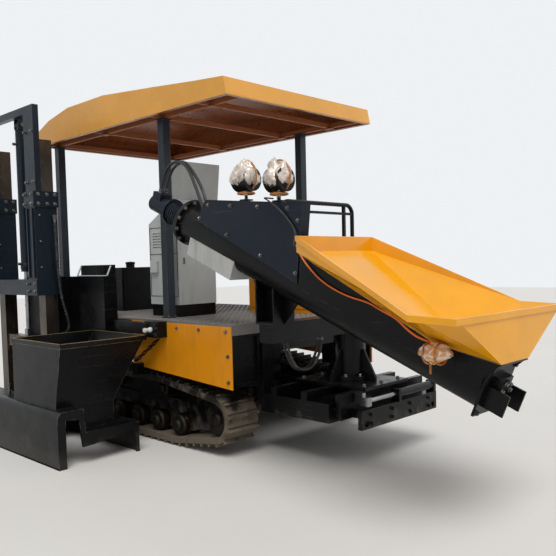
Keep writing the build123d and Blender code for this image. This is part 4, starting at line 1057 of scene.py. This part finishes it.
@dataclass
class Canopy:
    """Trim of the roof: a folded lip, standing seams and clips on the members."""

    finish: Finishes
    front: float = -0.02
    back: float = -3.09
    lip_base: float = 2.914
    lip_top: float = 2.927

    def build(self) -> None:
        """Make the lip, the seams and the clips."""
        lips = [block((self.back, y - 0.002, self.lip_base), (self.front, y + 0.002, self.lip_top), 0.0015)
                for y in (0.003, 1.863)]
        lips += [block((x - 0.002, 0.0, self.lip_base), (x + 0.002, DECK_WIDTH, self.lip_top), 0.0015)
                 for x in (-3.097, -0.003)]
        put("canopy_lip", join(lips), self.finish.roof)
        seams = [block((x - 0.012, 0.02, z + 0.001), (x + 0.012, 1.846, z + 0.009), 0.003)
                 for x, z in ((-0.99, 3.15), (-1.762, 3.223), (-2.432, 3.221))]
        put("roof_seams", join(seams), self.finish.roof)
        # the clips take the canopy frame's orange with painted shade
        clips = [block((x - 0.05, y - 0.03, 2.9125), (x + 0.05, y + 0.03, 2.9205), 0.002)
                 for x, y in product((-2.045, -1.09, -0.42), (0.205, 1.745))]
        put("member_clips", join(clips), self.finish.orange_painted_shade)


@dataclass
class Deck:
    """Checker plate, and the bolts and welds at the feet of the canopy's posts and the handrail."""

    finish: Finishes
    pitch: float = 0.034
    height: float = 0.0022
    length: float = 0.026
    width: float = 0.007
    post_feet: tuple[tuple[float, float], ...] = ((-1.09, 0.205), (-3.0, 0.205), (-0.81, 1.745), (-3.0, 1.745))
    rail_feet: tuple[tuple[float, float], ...] = ((-0.19, 0.79), (-0.19, 1.8))

    def tread(self) -> Surface:
        """Raise almond bars on a square grid, each turned a quarter from its neighbours.

        One bar is a flat almond: half width w sin(pi s) at share s of its length, with a narrower crown.
        """
        s = np.linspace(0, 1, 5)
        x = (s - 0.5) * self.length
        w = self.width / 2 * np.sin(math.pi * np.clip(s, 0.03, 0.97))
        foot = [np.stack([x, half, np.zeros(5)], 1) for half in (w, -w)]
        top = [p * (0.82, 0.55, 1) + (0, 0, self.height) for p in foot]
        unit = Surface(np.concatenate([foot[0], *top, foot[1]]), grid_quads(4, 5, False, False))
        gx, gy = np.arange(-3.035, -0.012, self.pitch), np.arange(0.016, 1.852, self.pitch)
        cells = np.stack(np.meshgrid(gx, gy, indexing="ij"), -1)
        parity = np.add.outer(np.arange(len(gx)), np.arange(len(gy))) % 2
        parts = []
        for turn in (0, 1):
            chosen = cells[parity == turn]
            spots = np.column_stack([chosen, np.full(len(chosen), DECK_TOP)])
            a = math.pi / 4 + turn * math.pi / 2
            bar = unit.points @ np.array([(math.cos(a), math.sin(a), 0), (-math.sin(a), math.cos(a), 0), (0, 0, 1)])
            points = (spots + (DECK_EDGE, RIGHT_PLANE, 0))[:, None] + bar
            quads = unit.quads + (np.arange(len(spots)) * len(bar))[:, None, None]
            parts.append(Surface(points.reshape(-1, 3), quads.reshape(-1, 4)))
        return join(parts)

    def build(self) -> None:
        """Make the tread and the fasteners."""
        put("deck_tread", self.tread(), self.finish.deck, shading=Shading.FLAT)
        reach, side = 0.03864, 0.034
        spots = [(x + dx, y + dy, DECK_TOP + 0.012) for x, y in self.post_feet
                 for dx, dy in product((-reach, reach), repeat=2)]
        spots += [(x + dx, y + dy, DECK_TOP + 0.01) for x, y in self.rail_feet
                  for dx, dy in ((-side, 0), (side, 0), (0, -side), (0, side))]
        put("post_bolts", bolts(0.014, spots, (0, 0, 1), 0.7), self.finish.bolt)
        welds = []
        for k, (x, y) in enumerate(self.post_feet):
            foot = [(x + dx, y + dy, DECK_TOP + 0.0125)
                    for dx, dy in ((-0.04, -0.04), (0.04, -0.04), (0.04, 0.04), (-0.04, 0.04))]
            welds += [bead(one, two, 0.004, k) for one, two in zip(foot, foot[1:] + foot[:1])]
        put("post_welds", join(welds), self.finish.post, shading=Shading.SMOOTH)


@dataclass
class SidePanels:
    """Bolts of the sheet panels on both sides."""

    finish: Finishes

    def build(self) -> None:
        """Make the panel fasteners, held inside the machine's box."""
        heads = []
        for y, turn in ((0.0, -1), (DECK_WIDTH, 1)):
            spots = [*product((-0.08, -0.42, -0.72, -1.02, -1.33), [y], [1.048]), *product([-0.06], [y], (0.64, 0.85)),
                     (-1.36, y, 0.74), *product((-2.99, -2.12), [y], (0.75, 1.04))]
            heads.append(bolts(0.024, spots, (0, turn, 0)))
        put("panel_bolts", inside_box(join(heads)), self.finish.bolt)


@dataclass
class Console:
    """Control panel under the lid, louvres, a socket box, seams, latches and hinge knuckles."""

    finish: Finishes
    low: Point = (-1.5, 0.295, 1.99)
    high: Point = (-1.11, 0.743, 2.2)

    def slope(self) -> tuple[Array, Array]:
        """Return the run up the sloping top, and the direction square to it."""
        run = np.array((self.high[0] - self.low[0], 0, self.high[2] - self.low[2]))
        return run, normed(np.array((-run[2], 0, run[0])))

    def on_slope(self, share: float, y: float) -> Array:
        """Return the model place at a share up the sloping top and a station across it."""
        return np.array(place(self.low[0], y, self.low[2])) + self.slope()[0] * share

    def controls(self, name: str, profile: list[tuple[float, float]], sides: int, shares: tuple[float, ...],
                 across: Iterable[float], finish: Material) -> None:
        """Stand a turned form at each of some shares up the slope and stations across it."""
        spots = [self.on_slope(share, y) for share, y in product(shares, across)]
        put(name, scattered(turned_form(profile, sides), spots, self.slope()[1]), finish)

    def panel(self) -> None:
        """Lay the plate with its controls; the closed lid leaves 1 to 8 mm over all but the slope's lowest fifth."""
        run, normal = self.slope()
        plate = rounded_box((-0.5, -0.5, 0), (0.5, 0.5, 1), 0.02)
        size = np.array((np.linalg.norm(run) * 0.94, 0.42, 0.001))
        points = (plate.points * size) @ np.array([normed(run), (0, 1, 0), normal])
        plate = Surface(points + self.on_slope(0.5, 0.519) - normal * 0.0002, plate.quads)
        put("control_plate", plate, self.finish.black)
        keys = np.linspace(0.36, 0.68, 7).tolist()
        self.controls("control_knobs", [(0, 0), (0.014, 0), (0.014, 0.004), (0.011, 0.006), (0.011, 0.02),
                                        (0.008, 0.023), (0, 0.023)], 20, (0.165,), keys, self.finish.bolt)
        self.controls("control_buttons", [(0, 0), (0.015, 0), (0.015, 0.002), (0.011, 0.0025), (0.010, 0.0035),
                                          (0, 0.0038)], 20, (0.3, 0.4, 0.5), keys, self.finish.orange)
        self.controls("control_dials", [(0, 0), (0.034, 0), (0.036, 0.001), (0.0355, 0.0026), (0.031, 0.0026),
                                        (0.030, 0.0014), (0, 0.0014)], 32, (0.68,), (0.39, 0.48, 0.57, 0.66),
                      self.finish.cabinet)
        self.controls("control_sticks", [(0, 0), (0.018, 0), (0.014, 0.012), (0.005, 0.016), (0.005, 0.05),
                                         (0.011, 0.056), (0.014, 0.068), (0.011, 0.08), (0, 0.083)], 20, (0.07,),
                      (0.42, 0.52, 0.62), self.finish.rubber)

    def build(self) -> None:
        """Make the panel and the cabinet's fittings."""
        self.panel()
        slats = [block((-1.44, 0.288, z + 0.004), (-1.24, 0.299, z + 0.009), 0.002)
                 for z in (1.765 + i * 0.026 for i in range(6))]
        put("cabinet_louvres", join(slats), self.finish.cabinet)
        socket = block((-1.46, 0.262, 1.52), (-1.36, 0.295, 1.64), 0.006)
        put("cabinet_socket", socket, self.finish.cabinet)
        seams = [block((-1.49, 0.2905, z - 0.002), (-1.06, 0.2955, z + 0.002), 0.001) for z in (1.30, 1.70, 1.95)]
        seams += [block((x - 0.002, 0.2905, 1.30), (x + 0.002, 0.2955, 1.95), 0.001) for x in (-1.485, -1.065)]
        put("cabinet_seams", join(seams), self.finish.black)
        latches = [block((-1.0505, y - 0.012, 1.6), (-1.043, y + 0.012, 1.66), 0.003) for y in (0.36, 0.68)]
        put("cabinet_latches", join(latches), self.finish.bolt)
        knuckle = turned_form([(0, -0.03), (0.0132, -0.03), (0.0132, 0.03), (0, 0.03)], 16)
        spots = [place(-1.1135, y, 2.214) for y in (0.34, 0.52, 0.7)]
        put("lid_knuckles", scattered(knuckle, spots, (0, 1, 0)), self.finish.bolt, Body.LID)


@dataclass
class EngineBay:
    """Door frames, latches and bolts on the hood, and the tank's cap and gauge."""

    finish: Finishes

    def build(self) -> None:
        """Make the fittings of the hood and the tank."""
        bars = [block((-0.99, near, z - 0.01), (-0.13, near + 0.005, z + 0.01), 0.002)
                for near, z in product((1.143, 1.693), (1.16, 1.56))]
        put("hood_frames", join(bars), self.finish.yellow)
        latches = [block((-0.1105, y - 0.02, 1.38), (-0.1, y + 0.02, 1.44), 0.003) for y in (1.25, 1.58)]
        put("hood_latches", join(latches), self.finish.dark_bolt)
        heads = bolts(0.018, product([-0.11], (1.17, 1.67), (1.15, 1.35, 1.57)), (1, 0, 0), 0.6)
        put("hood_bolts", heads, self.finish.bolt)
        cap = turned_form([(0, 0), (0.05, 0), (0.054, 0.006), (0.054, 0.02), (0.046, 0.026), (0, 0.03)], 28)
        put("tank_cap", scattered(cap, [place(-2.5, 0.733, 1.612)], (0, 0, 1)), self.finish.dark_bolt)
        gauge = block((-2.302, 1.05, 1.2), (-2.292, 1.09, 1.5), 0.003)
        put("tank_gauge", gauge, self.finish.lens)


@dataclass
class Conveyor:
    """Flange bolts, welds, motor ports and ribs, wrapped lamps, and the hopper's welds and lugs."""

    finish: Finishes
    tube_back: float = -0.64
    tube_front: float = 2.25
    guard_y: float = -0.1373

    def flanges(self) -> None:
        """Bolt the drive's flange and the tail plate, and fit the motor's ports and the gearbox's ribs."""
        _, _, ahead = TUBE.frame()
        rings = ((0.026, self.tube_back + 0.018, 0.177, 12, ahead), (0.018, self.tube_back - 0.07, 0.107, 8, -ahead),
                 (0.018, self.tube_back - 0.31, 0.098, 6, -ahead), (0.022, self.tube_front + 0.074, 0.048, 6, ahead))
        heads = [scattered(hex_bolt(across), TUBE.ring(along, radius, count), towards)
                 for across, along, radius, count, towards in rings]
        put("flange_bolts", join(heads), self.finish.bolt, Body.CONVEYOR)
        corners = [TUBE.at(self.tube_front + 0.016, up, side) for up, side in product((-0.15, 0.12), (-0.14, 0.14))]
        put("tail_bolts", bolts(0.026, corners, ahead, 0.0), self.finish.dark_bolt, Body.CONVEYOR)
        ports = [rod(TUBE.at(-1.125, low, side), TUBE.at(-1.125, high, side), radius, sides)
                 for side in (-0.03, 0.03) for low, high, radius, sides in ((0.11, 0.145, 0.016, 6),
                                                                            (0.14, 0.165, 0.012, 12))]
        put("motor_ports", join(ports), self.finish.bolt, Body.CONVEYOR)
        square = np.array([(-0.004, -0.004), (0.004, -0.004), (0.004, 0.004), (-0.004, 0.004)])
        ribs = [swept(square, TUBE.ring(-0.735 - k * 0.028, 0.098, 28, 0.0), tuple(ahead), True) for k in range(7)]
        put("gearbox_ribs", join(ribs), self.finish.navy, Body.CONVEYOR)

    def guard(self) -> None:
        """Bolt the cover plate, round its edges and run welds along the tube."""
        y = self.guard_y
        spots = [(x, y, z) for x, z in ((-0.09, 2.055), (0.17, 2.03), (0.46, 2.003), (0.76, 1.972), (0.855, 1.88),
                                        (0.84, 1.7), (0.82, 1.52), (-0.2, 1.96), (0.12, 1.815), (0.48, 1.65))]
        put("guard_bolts", bolts(0.022, spots, (0, -1, 0), 0.6), self.finish.bolt, Body.CONVEYOR)
        back, front, top, foot = (-0.248, y, 1.951), (-0.107, y, 2.093), (0.893, y, 1.9945), (0.829, y, 1.45)
        edges = [rod(one, two, 0.0035, 8) for one, two in ((front, top), (top, foot), (back, front))]
        put("guard_edges", join(edges), self.finish.navy, Body.CONVEYOR)
        welds = [bead(TUBE.at(s, -0.03, -0.1585), TUBE.at(s + 0.11, -0.03, -0.1585), 0.005, k)
                 for k, s in enumerate(np.arange(-0.2, 0.75, 0.2))]
        welds.append(bead((0.935, -0.1388, 1.67), (1.04, -0.1388, 1.655), 0.004, 9))
        put("tube_welds", join(welds), self.finish.black, Body.CONVEYOR, Shading.SMOOTH)

    def hopper(self) -> None:
        """Weld the feed hopper's slope, add its lugs and bolt the trough plates under it."""
        welds = [bead((1.05, 0.03 + t * 0.399, 1.663), (1.914, 0.03 + t * 0.167, 1.107), 0.004, k)
                 for k, t in enumerate((-1, 1))]
        put("hopper_welds", join(welds), self.finish.hopper, Body.CONVEYOR, Shading.SMOOTH)
        lugs = [block((1.0435, y - 0.03, 1.70), (1.0495, y + 0.03, 1.75), 0.002) for y in (0.03 - 0.2, 0.03 + 0.2)]
        put("hopper_lugs", join(lugs), self.finish.hopper, Body.CONVEYOR)
        spots = [(1.15 + 0.2 * k, -0.1388, 1.56 - 0.1285 * k) for k in range(4)]
        put("trough_bolts", bolts(0.02, spots, (0, -1, 0), 0.6), self.finish.dark_bolt, Body.CONVEYOR)

    def lamps(self) -> None:
        """Wrap the two work lamps in foil and film, tied with tape round their waists and stems."""
        low, high = (np.array(c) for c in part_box("work_lamps"))
        radius, half, slope = 0.088, 0.075, -0.099 / 1.002
        y = (low[1] + high[1]) / 2 - RIGHT_PLANE
        first, last = low[0] + half - DECK_EDGE, high[0] - half - DECK_EDGE
        flat = np.eye(3)
        films, foils, ties = [], [], []
        for k, x in enumerate((first, last)):
            z = high[2] - radius + slope * (x - first)
            films.append(lump((x, y, z + 0.004), (0.104, 0.11, 0.133), 11 + k, 0.3))
            foils.append(lump((x, y, z + 0.004), (0.1, 0.106, 0.128), 11 + k, 0.3))
            ties.append(hoop((x, y, z - 0.1), (0.06, 0.06), 0.009, flat))
            ties.append(hoop((x, y, z + 0.02), (0.113, 0.119), 0.006, flat[[0, 2, 1]]))
        for name, forms, finish in (("lamp_foil", foils, self.finish.foil), ("lamp_film", films, self.finish.film),
                                    ("lamp_ties", ties, self.finish.tape)):
            put(name, join(forms), finish, Body.CONVEYOR, Shading.SMOOTH)

    def build(self) -> None:
        """Make every group of pieces on the conveyor."""
        self.flanges()
        self.guard()
        self.hopper()
        self.lamps()


@dataclass
class Mast:
    """Bolts, welds, wear strips, grease nipples and cylinder fittings of the mast, and the columns' caps."""

    finish: Finishes
    columns: tuple[float, float] = (-3.184, -2.284)
    y: float = -0.37

    def sleeves(self) -> None:
        """Make the fasteners, welds, wear strips and nipples of the sleeves round the columns."""
        heads, welds, strips, nipples = [], [], [], []
        outer = self.y - 0.15 - 0.012
        for k, x in enumerate(self.columns):
            sides = (x - 0.07, x + 0.07)
            spots = [*product(sides, [outer], (2.21, 2.3)), *product(sides, [outer], (1.37, 1.44))]
            heads.append(bolts(0.03, spots, (0, -1, 0)))
            depths = [self.y + dy for dy in (-0.11, -0.02, 0.06)]
            heads.append(bolts(0.026, product([x + 0.0975], depths, (2.21, 2.3)), (1, 0, 0)))
            for side in (-1, 1):
                at, strip = x + side * 0.0855, x + side * 0.052
                welds.append(bead((at, self.y - 0.15, 1.482), (at, self.y + 0.085, 1.482), 0.006, 3 * k + side + 1))
                strips.append(block((strip - 0.01, outer - 0.004, 1.50), (strip + 0.01, outer + 0.02, 2.17), 0.004))
            nipples += [place(x + 0.0855, self.y - 0.1, z) for z in (1.6, 1.85, 2.1)]
            heads.append(bolts(0.03, product((x - 0.08, x + 0.06), [self.y - 0.13], (2.42, 2.9)), (0, -1, 0)))
        put("mast_bolts", join(heads), self.finish.bolt, Body.MAST)
        put("mast_welds", join(welds), self.finish.slate, Body.MAST, Shading.SMOOTH)
        put("mast_ribs", join(strips), self.finish.slate, Body.MAST)
        nipple = turned_form([(0, 0), (0.01, 0), (0.01, 0.006), (0.005, 0.009), (0.006, 0.016), (0.003, 0.02),
                              (0, 0.02)], 12)
        put("grease_nipples", scattered(nipple, nipples, (1, 0, 0)), self.finish.bolt, Body.MAST)

    def build(self) -> None:
        """Make the fittings of the sleeves, the cylinder, the mast's box and the columns."""
        self.sleeves()
        x, y = sum(self.columns) / 2, self.y
        gland = turned_form([(0, 0), (0.05, 0), (0.053, 0.005), (0.053, 0.05), (0.048, 0.058), (0, 0.058)], 32)
        put("cylinder_gland", scattered(gland, [place(x, y, 1.585)], (0, 0, 1)), self.finish.slate,
            Body.MAST)
        ports = [rod((x, y - near, z), (x, y - far, z), radius, sides)
                 for near, far, radius, sides in ((0.045, 0.085, 0.012, 12), (0.06, 0.075, 0.017, 6))
                 for z in (1.64, 2.85)]
        ports.append(rod((x - 0.06, y, 3.045), (x + 0.06, y, 3.045), 0.018, 20))
        put("cylinder_ports", join(ports), self.finish.bolt, Body.MAST)
        heads = bolts(0.026, product((-2.96, -2.65, -2.34), [-0.27], (0.72, 0.95, 1.2)), (0, -1, 0))
        put("mast_box_bolts", heads, self.finish.dark_bolt, Body.MAST)
        caps = [block((x - 0.065, y - 0.065, 2.822), (x + 0.065, y + 0.065, 2.83), 0.002) for x in self.columns]
        put("column_caps", join(caps), self.finish.ground_steel, Body.MOULD)


@dataclass
class MouldGear:
    """Worn rim, welds, adjusting screws and skids of the kerb mould and its hopper."""

    finish: Finishes
    rim_x: tuple[float, float] = (-1.83, -0.975)
    rim_y: tuple[float, float] = (-0.96, -0.15)
    wall: float = 0.008

    def build(self) -> None:
        """Make the mould's fittings."""
        (x0, x1), (y0, y1), z, t = self.rim_x, self.rim_y, 0.985, self.wall
        rim = [block((x0 - t, y - t, z - 0.001), (x1 + t, y + t, z + 0.002), 0.001) for y in (y0, y1)]
        rim += [block((x - t, y0 - t, z - 0.001), (x + t, y1 + t, z + 0.002), 0.001) for x in (x0, x1)]
        put("mould_rim_edge", join(rim), self.finish.worn_rim, Body.MOULD)
        rear, front, inner = (-1.77, -0.99, 0.4585), (-1.035, -0.99, 0.4585), (-1.035, -0.46, 0.4585)
        welds = [bead(rear, front, 0.006, 40), bead(front, inner, 0.006, 41)]
        put("mould_welds", join(welds), self.finish.charcoal, Body.MOULD, Shading.SMOOTH)
        screws = [rod((x, -0.93, low), (x, -0.93, high), radius, sides) for x in (-3.0, -2.5, -2.0)
                  for low, high, radius, sides in ((0.458, 0.56, 0.011, 14), (0.475, 0.495, 0.024, 6))]
        put("mould_screws", join(screws), self.finish.bolt, Body.MOULD)
        skids = [rod((-3.34, y, 0.008), (-0.9, y, 0.008), 0.006, 8) for y in (-1.05, -0.3)]
        put("mould_skids", inside_box(join(skids)), self.finish.worn_rim, Body.MOULD)


@dataclass
class FrontGear:
    """Bolts and fittings of the tray, the front beam, the cross slide, the tow bracket and the valve box."""

    finish: Finishes
    pivot: tuple[float, float] = (0.45, 0.93)

    def round_pivot(self, radius: float, z: float) -> list[Point]:
        """Space eight stations round the turret's pivot, the first at 0.39 radians."""
        return [(self.pivot[0] + radius * c, self.pivot[1] + radius * s, z) for c, s in circle(8, 0.39)]

    def slide(self) -> None:
        """Bolt the cross slide and the turret's head, and cap the pivot."""
        spots = [*product((0.12, 0.76), (0.7, 0.935, 1.17), [0.6]), *self.round_pivot(0.155, 0.64)]
        put("slide_bolts", bolts(0.028, spots, (0, 0, 1)), self.finish.bolt, Body.CARRIAGE)
        cap = turned_form([(0, 0), (0.09, 0), (0.094, 0.004), (0.094, 0.014), (0.08, 0.02), (0, 0.022)], 40)
        head = join([bolts(0.026, self.round_pivot(0.135, 1.15), (0, 0, 1)),
                     scattered(cap, [place(*self.pivot, 1.15)], (0, 0, 1))])
        put("turret_cap", head, self.finish.dark_bolt, Body.CONVEYOR)

    def build(self) -> None:
        """Make the front equipment's fasteners and the valve box's trim."""
        beam = bolts(0.03, product([0.89], (0.62, 0.9, 1.16, 1.44), (0.34, 0.41)), (1, 0, 0), 0.4)
        tray = bolts(0.02, product([0.703], np.linspace(0.4, 1.5, 7), [0.46]), (1, 0, 0), 0.4)
        put("beam_bolts", join([beam, tray]), self.finish.dark_bolt)
        self.slide()
        heads = bolts(0.03, product((-1.03, -0.89), [-0.1], (0.985, 1.075)), (0, -1, 0))
        put("bracket_bolts", heads, self.finish.dark_bolt)
        fitting = turned_form([(0, 0), (0.022, 0), (0.022, 0.02), (0.015, 0.026), (0.015, 0.05), (0.02, 0.055),
                               (0.02, 0.075), (0, 0.08)], 20)
        put("tow_fitting", scattered(fitting, [place(-0.96, -0.1, 1.03)], (0, -1, 0)), self.finish.cap)
        rods = [rod((x, -0.07, 1.505), (x, -0.025, 1.6), 0.008) for x in (-2.24, -1.69)]
        rods.append(rod((-2.24, -0.07, 1.505), (-1.69, -0.07, 1.505), 0.006))
        put("valve_box_rods", join(rods), self.finish.cabinet)
        lip = [block((x, -0.142, 1.494), (-1.638, y, 1.503), 0.002) for x, y in ((-2.287, -0.134), (-1.646, -0.004))]
        put("valve_box_lip", join(lip), self.finish.black)


@dataclass(frozen=True)
class Route:
    """A cord's control points in stations, its diameter, and what it is."""

    name: str
    points: tuple[Point, ...]
    diameter: float
    body: Body
    slot: str
    stiffness: str = "medium"
    lay: str = "hanging"

    def control(self) -> Array:
        """Return the control points in model metres."""
        return np.array([place(*p) for p in self.points])

    def line(self, steps: int = 40) -> Array:
        """Follow the curve: between the middles of neighbouring runs it is a parabola drawn by their common corner.

        At share t each parabola is (1 - t)^2 A + 2 t (1 - t) B + t^2 C.
        """
        p = self.control()
        joints = np.concatenate([p[:1], (p[1:-2] + p[2:-1]) / 2, p[-1:]])
        t = np.linspace(0, 1, steps)[None, :, None]
        a, b, c = joints[:-1, None], p[1:-1, None], joints[1:, None]
        pieces = (1 - t) ** 2 * a + 2 * t * (1 - t) * b + t * t * c
        return np.concatenate([pieces[:, :-1].reshape(-1, 3), p[-1:]])

    def length(self) -> float:
        """Add up the curve's steps."""
        return float(np.linalg.norm(np.diff(self.line(200), axis=0), axis=1).sum())

    def lay_out(self, finish: Material) -> None:
        """Args:
            finish: Its material.
        """
        data = bpy.data.curves.new(self.name, "CURVE")
        data.dimensions = "3D"
        data.bevel_depth = self.diameter / 2
        data.bevel_resolution = 4
        data.resolution_u = 16
        data.use_fill_caps = True
        spline = data.splines.new("NURBS")
        p = self.control()
        spline.points.add(len(p) - 1)
        spline.points.foreach_set("co", np.column_stack([p, np.ones(len(p))]).ravel())
        spline.order_u = 3
        spline.use_endpoint_u = True
        data.materials.append(finish)
        piece = bpy.data.objects.new(self.name, data)
        bpy.context.scene.collection.objects.link(piece)
        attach(piece, self.body.value)
        round(self.length(), 3)
        log.info("cord %s: %.3f m", self.name, self.length())


def hose_fitting(spot: Point, towards: Point, size: float) -> Surface:
    """Build a hose fitting standing on a station: a hexagon and a crimped sleeve.

    Args:
        spot: Its station.
        towards: Direction that the sleeve points in.
        size: Radius of the hexagon.

    Returns:
        The fitting.
    """
    hexagon = [(0, -0.004), (size, -0.004), (size, 0.3 * size), (0, 0.3 * size)]
    sleeve = [(0, 0.3 * size), (size * 0.8, 0.3 * size), (size * 0.72, 0.9 * size), (size * 0.8, 1.1 * size),
              (size * 0.72, 1.9 * size), (0, 1.9 * size)]
    return scattered(join([turned_form(hexagon, 6), turned_form(sleeve, 18)]), [place(*spot)], towards)


@dataclass
class Cables:
    """The machine's free hoses and cables, their end fittings, and the wrapped vibrator that the orange one feeds."""

    finish: Finishes
    port_along: float = -1.125
    wrap_pitch: float = 0.034
    wrap_radius: float = 0.0125
    vibrator_spot: Point = (2.0, -0.28, 1.07)
    vibrator_feed: tuple[Point, ...] = (
        (0.875, -0.136, 1.74), (0.875, -0.19, 1.72), (0.9, -0.17, 1.64), (0.96, -0.153, 1.555), (1.08, -0.15, 1.455),
        (1.27, -0.152, 1.372), (1.45, -0.155, 1.335), (1.555, -0.208, 1.307), (1.674, -0.308, 1.295),
        (1.798, -0.356, 1.264), (1.88, -0.362, 1.198), (1.94, -0.33, 1.15), (1.985, -0.268, 1.125))
    lamp_lead: tuple[Point, ...] = (
        (0.602, -0.115, 2.05), (0.565, -0.118, 2.055), (0.548, -0.16, 2.058), (0.60, -0.178, 2.04),
        (0.70, -0.155, 1.965), (0.79, -0.149, 1.875), (0.845, -0.15, 1.80), (0.85, -0.175, 1.745),
        (0.85, -0.18, 1.70), (0.85, -0.137, 1.68))
    slew_loop: tuple[Point, ...] = (
        (0.30, 0.036, 1.31), (0.30, 0.14, 1.31), (0.305, 0.235, 1.235), (0.33, 0.25, 1.08), (0.355, 0.25, 0.98),
        (0.375, 0.27, 0.85), (0.39, 0.325, 0.755), (0.405, 0.405, 0.73), (0.42, 0.485, 0.755), (0.435, 0.545, 0.85),
        (0.445, 0.56, 0.94), (0.45, 0.56, 0.998))
    mast_drop: tuple[Point, ...] = (
        (-2.172, -0.33, 2.07), (-2.172, -0.33, 1.98), (-2.16, -0.33, 1.8), (-2.15, -0.325, 1.55),
        (-2.14, -0.31, 1.32), (-2.125, -0.28, 1.18), (-2.12, -0.245, 1.05), (-2.185, -0.222, 0.95),
        (-2.302, -0.22, 0.93))

    def drive_hoses(self) -> None:
        """Loop two hoses from the drive motor's ports over to the cover plate's upper edge."""
        ends = []
        for k, side in enumerate((-0.03, 0.03)):
            y = 0.03 + side
            port, above = TUBE.at(self.port_along, 0.112, side), TUBE.at(self.port_along, 0.2, side)
            points = (port, above, (-0.79, y, 2.43), (-0.62, y - 0.02, 2.475), (-0.42, y * 0.4 - 0.07, 2.40),
                      (-0.27, -0.09 + side, 2.24), (-0.2, -0.1 + side, 2.12), (-0.165, -0.1 + side * 0.7, 2.02))
            route = Route(f"motor_hose_{k + 1}", points, 0.026, Body.CONVEYOR, "black_frame", "stiff", "loose")
            route.lay_out(self.finish.rubber)
            ends.append(hose_fitting(port, tuple(TUBE.frame()[0]), 0.02))
        put("motor_hose_fittings", join(ends), self.finish.bolt, Body.CONVEYOR)

    def vibrator(self) -> None:
        """Hang the wrapped vibrator under the hopper's side, with its strap, and feed it by the orange cable."""
        spot = self.vibrator_spot
        clamp = block((1.95, -0.285, 1.1), (2.05, -0.245, 1.125), 0.004)
        body = join([lump(spot, (0.082, 0.058, 0.05), 51, 0.8), clamp])
        film = lump(spot, (0.1, 0.074, 0.06), 57, 0.6)
        ties = [hoop((spot[0] + dx, *spot[1:]), (0.072, 0.06), 0.006, np.eye(3)[[1, 2, 0]]) for dx in (-0.035, 0.04)]
        for name, form, finish in (("vibrator_body", body, self.finish.amber),
                                   ("vibrator_film", film, self.finish.amber_film),
                                   ("vibrator_ties", join(ties), self.finish.tape)):
            put(name, form, finish, Body.CONVEYOR, Shading.SMOOTH)
        strap = block((1.965, -0.285, 0.95), (1.975, -0.27, 1.02), 0.002)
        put("vibrator_strap", strap, self.finish.tape, Body.CONVEYOR)
        Route("vibrator_cable", self.vibrator_feed, 0.012, Body.CONVEYOR, "machine_yellow", "limp",
              "loose").lay_out(self.finish.orange)
        gland = hose_fitting((0.875, -0.138, 1.74), (0, -1, -0.3), 0.012)
        put("cable_gland", gland, self.finish.dark_bolt, Body.CONVEYOR)

    def lamp_cable(self) -> None:
        """Run a black cable from a lamp's stem down the cover plate's outer face."""
        Route("lamp_cable", self.lamp_lead, 0.011, Body.CONVEYOR, "black_frame", "limp",
              "loose").lay_out(self.finish.rubber)
        gland = hose_fitting(self.lamp_lead[-1], (0, -1, 0.3), 0.011)
        put("lamp_cable_gland", gland, self.finish.dark_bolt, Body.CONVEYOR)

    def slew_hoses(self) -> None:
        """Hang a pair of hoses in a loop from the saddle's web to the underside of the turret arm."""
        ends = []
        for k, dx in enumerate((0.0, -0.04)):
            points = tuple((x + dx, y, z) for x, y, z in self.slew_loop)
            Route(f"slew_hose_{k + 1}", points, 0.022, Body.CONVEYOR, "black_frame").lay_out(self.finish.rubber)
            ends.append(hose_fitting((points[0][0], 0.038, points[0][2]), (0, 1, 0), 0.017))
            ends.append(hose_fitting((*points[-1][:2], 1.0), (0, 0, -1), 0.017))
        put("slew_hose_fittings", join(ends), self.finish.bolt, Body.CONVEYOR)

    def spiral(self, line: Array) -> Surface:
        """Wind a flat strip round a line: at run u it stands off by cos(a) side + sin(a) rise, a = 2 pi u / pitch.

        Args:
            line: The points of the line as (count, 3).

        Returns:
            The strip, short of each end by 50 mm.
        """
        run = np.concatenate([[0], np.cumsum(np.linalg.norm(np.diff(line, axis=0), axis=1))])
        steps = np.arange(0.05, run[-1] - 0.05, 0.004)
        centre = np.stack([np.interp(steps, run, line[:, k]) for k in range(3)], 1)
        tangent = normed(np.gradient(centre, axis=0))
        side = normed(np.cross(tangent, (0, 1, 0)))
        rise = np.cross(side, tangent)
        turn = steps * 2 * math.pi / self.wrap_pitch
        helix = centre + self.wrap_radius * (np.cos(turn)[:, None] * side + np.sin(turn)[:, None] * rise)
        return swept(circle(6) * (0.0045, 0.003), helix, (0, 1, 0))

    def mast_hose(self) -> None:
        """Hang the spiral-wrapped hose from an elbow on the front sleeve down to the mast box."""
        route = Route("mast_hose", self.mast_drop, 0.022, Body.MAST, "black_frame")
        wrap = put("mast_hose_wrap", self.spiral(route.line()), self.finish.rubber, Body.MAST,
                   Shading.SMOOTH)
        route.lay_out(self.finish.rubber)
        ends = [block((-2.199, -0.347, 2.07), (-2.155, -0.313, 2.108), 0.005),
                hose_fitting((-2.172, -0.33, 2.072), (0, 0, -1), 0.017),
                hose_fitting((-2.3, -0.22, 0.93), (1, 0, 0), 0.017)]
        put("mast_hose_fittings", join(ends), self.finish.bolt, Body.MAST)

    def build(self) -> None:
        """Lay every cord out and make what is on its ends."""
        self.drive_hoses()
        self.vibrator()
        self.lamp_cable()
        self.slew_hoses()
        self.mast_hose()


PARTS = (Canopy, Deck, SidePanels, Console, EngineBay, Conveyor, Mast, MouldGear, FrontGear, Cables)


def main() -> None:
    """Build the studio, the finishes and the sub-assemblies."""
    logging.basicConfig(level=logging.INFO, format="%(message)s")
    Studio().build()
    finish = make_finishes()
    dress_frame(finish)
    for part in PARTS:
        part(finish).build()


if __name__ == "__main__":
    main()
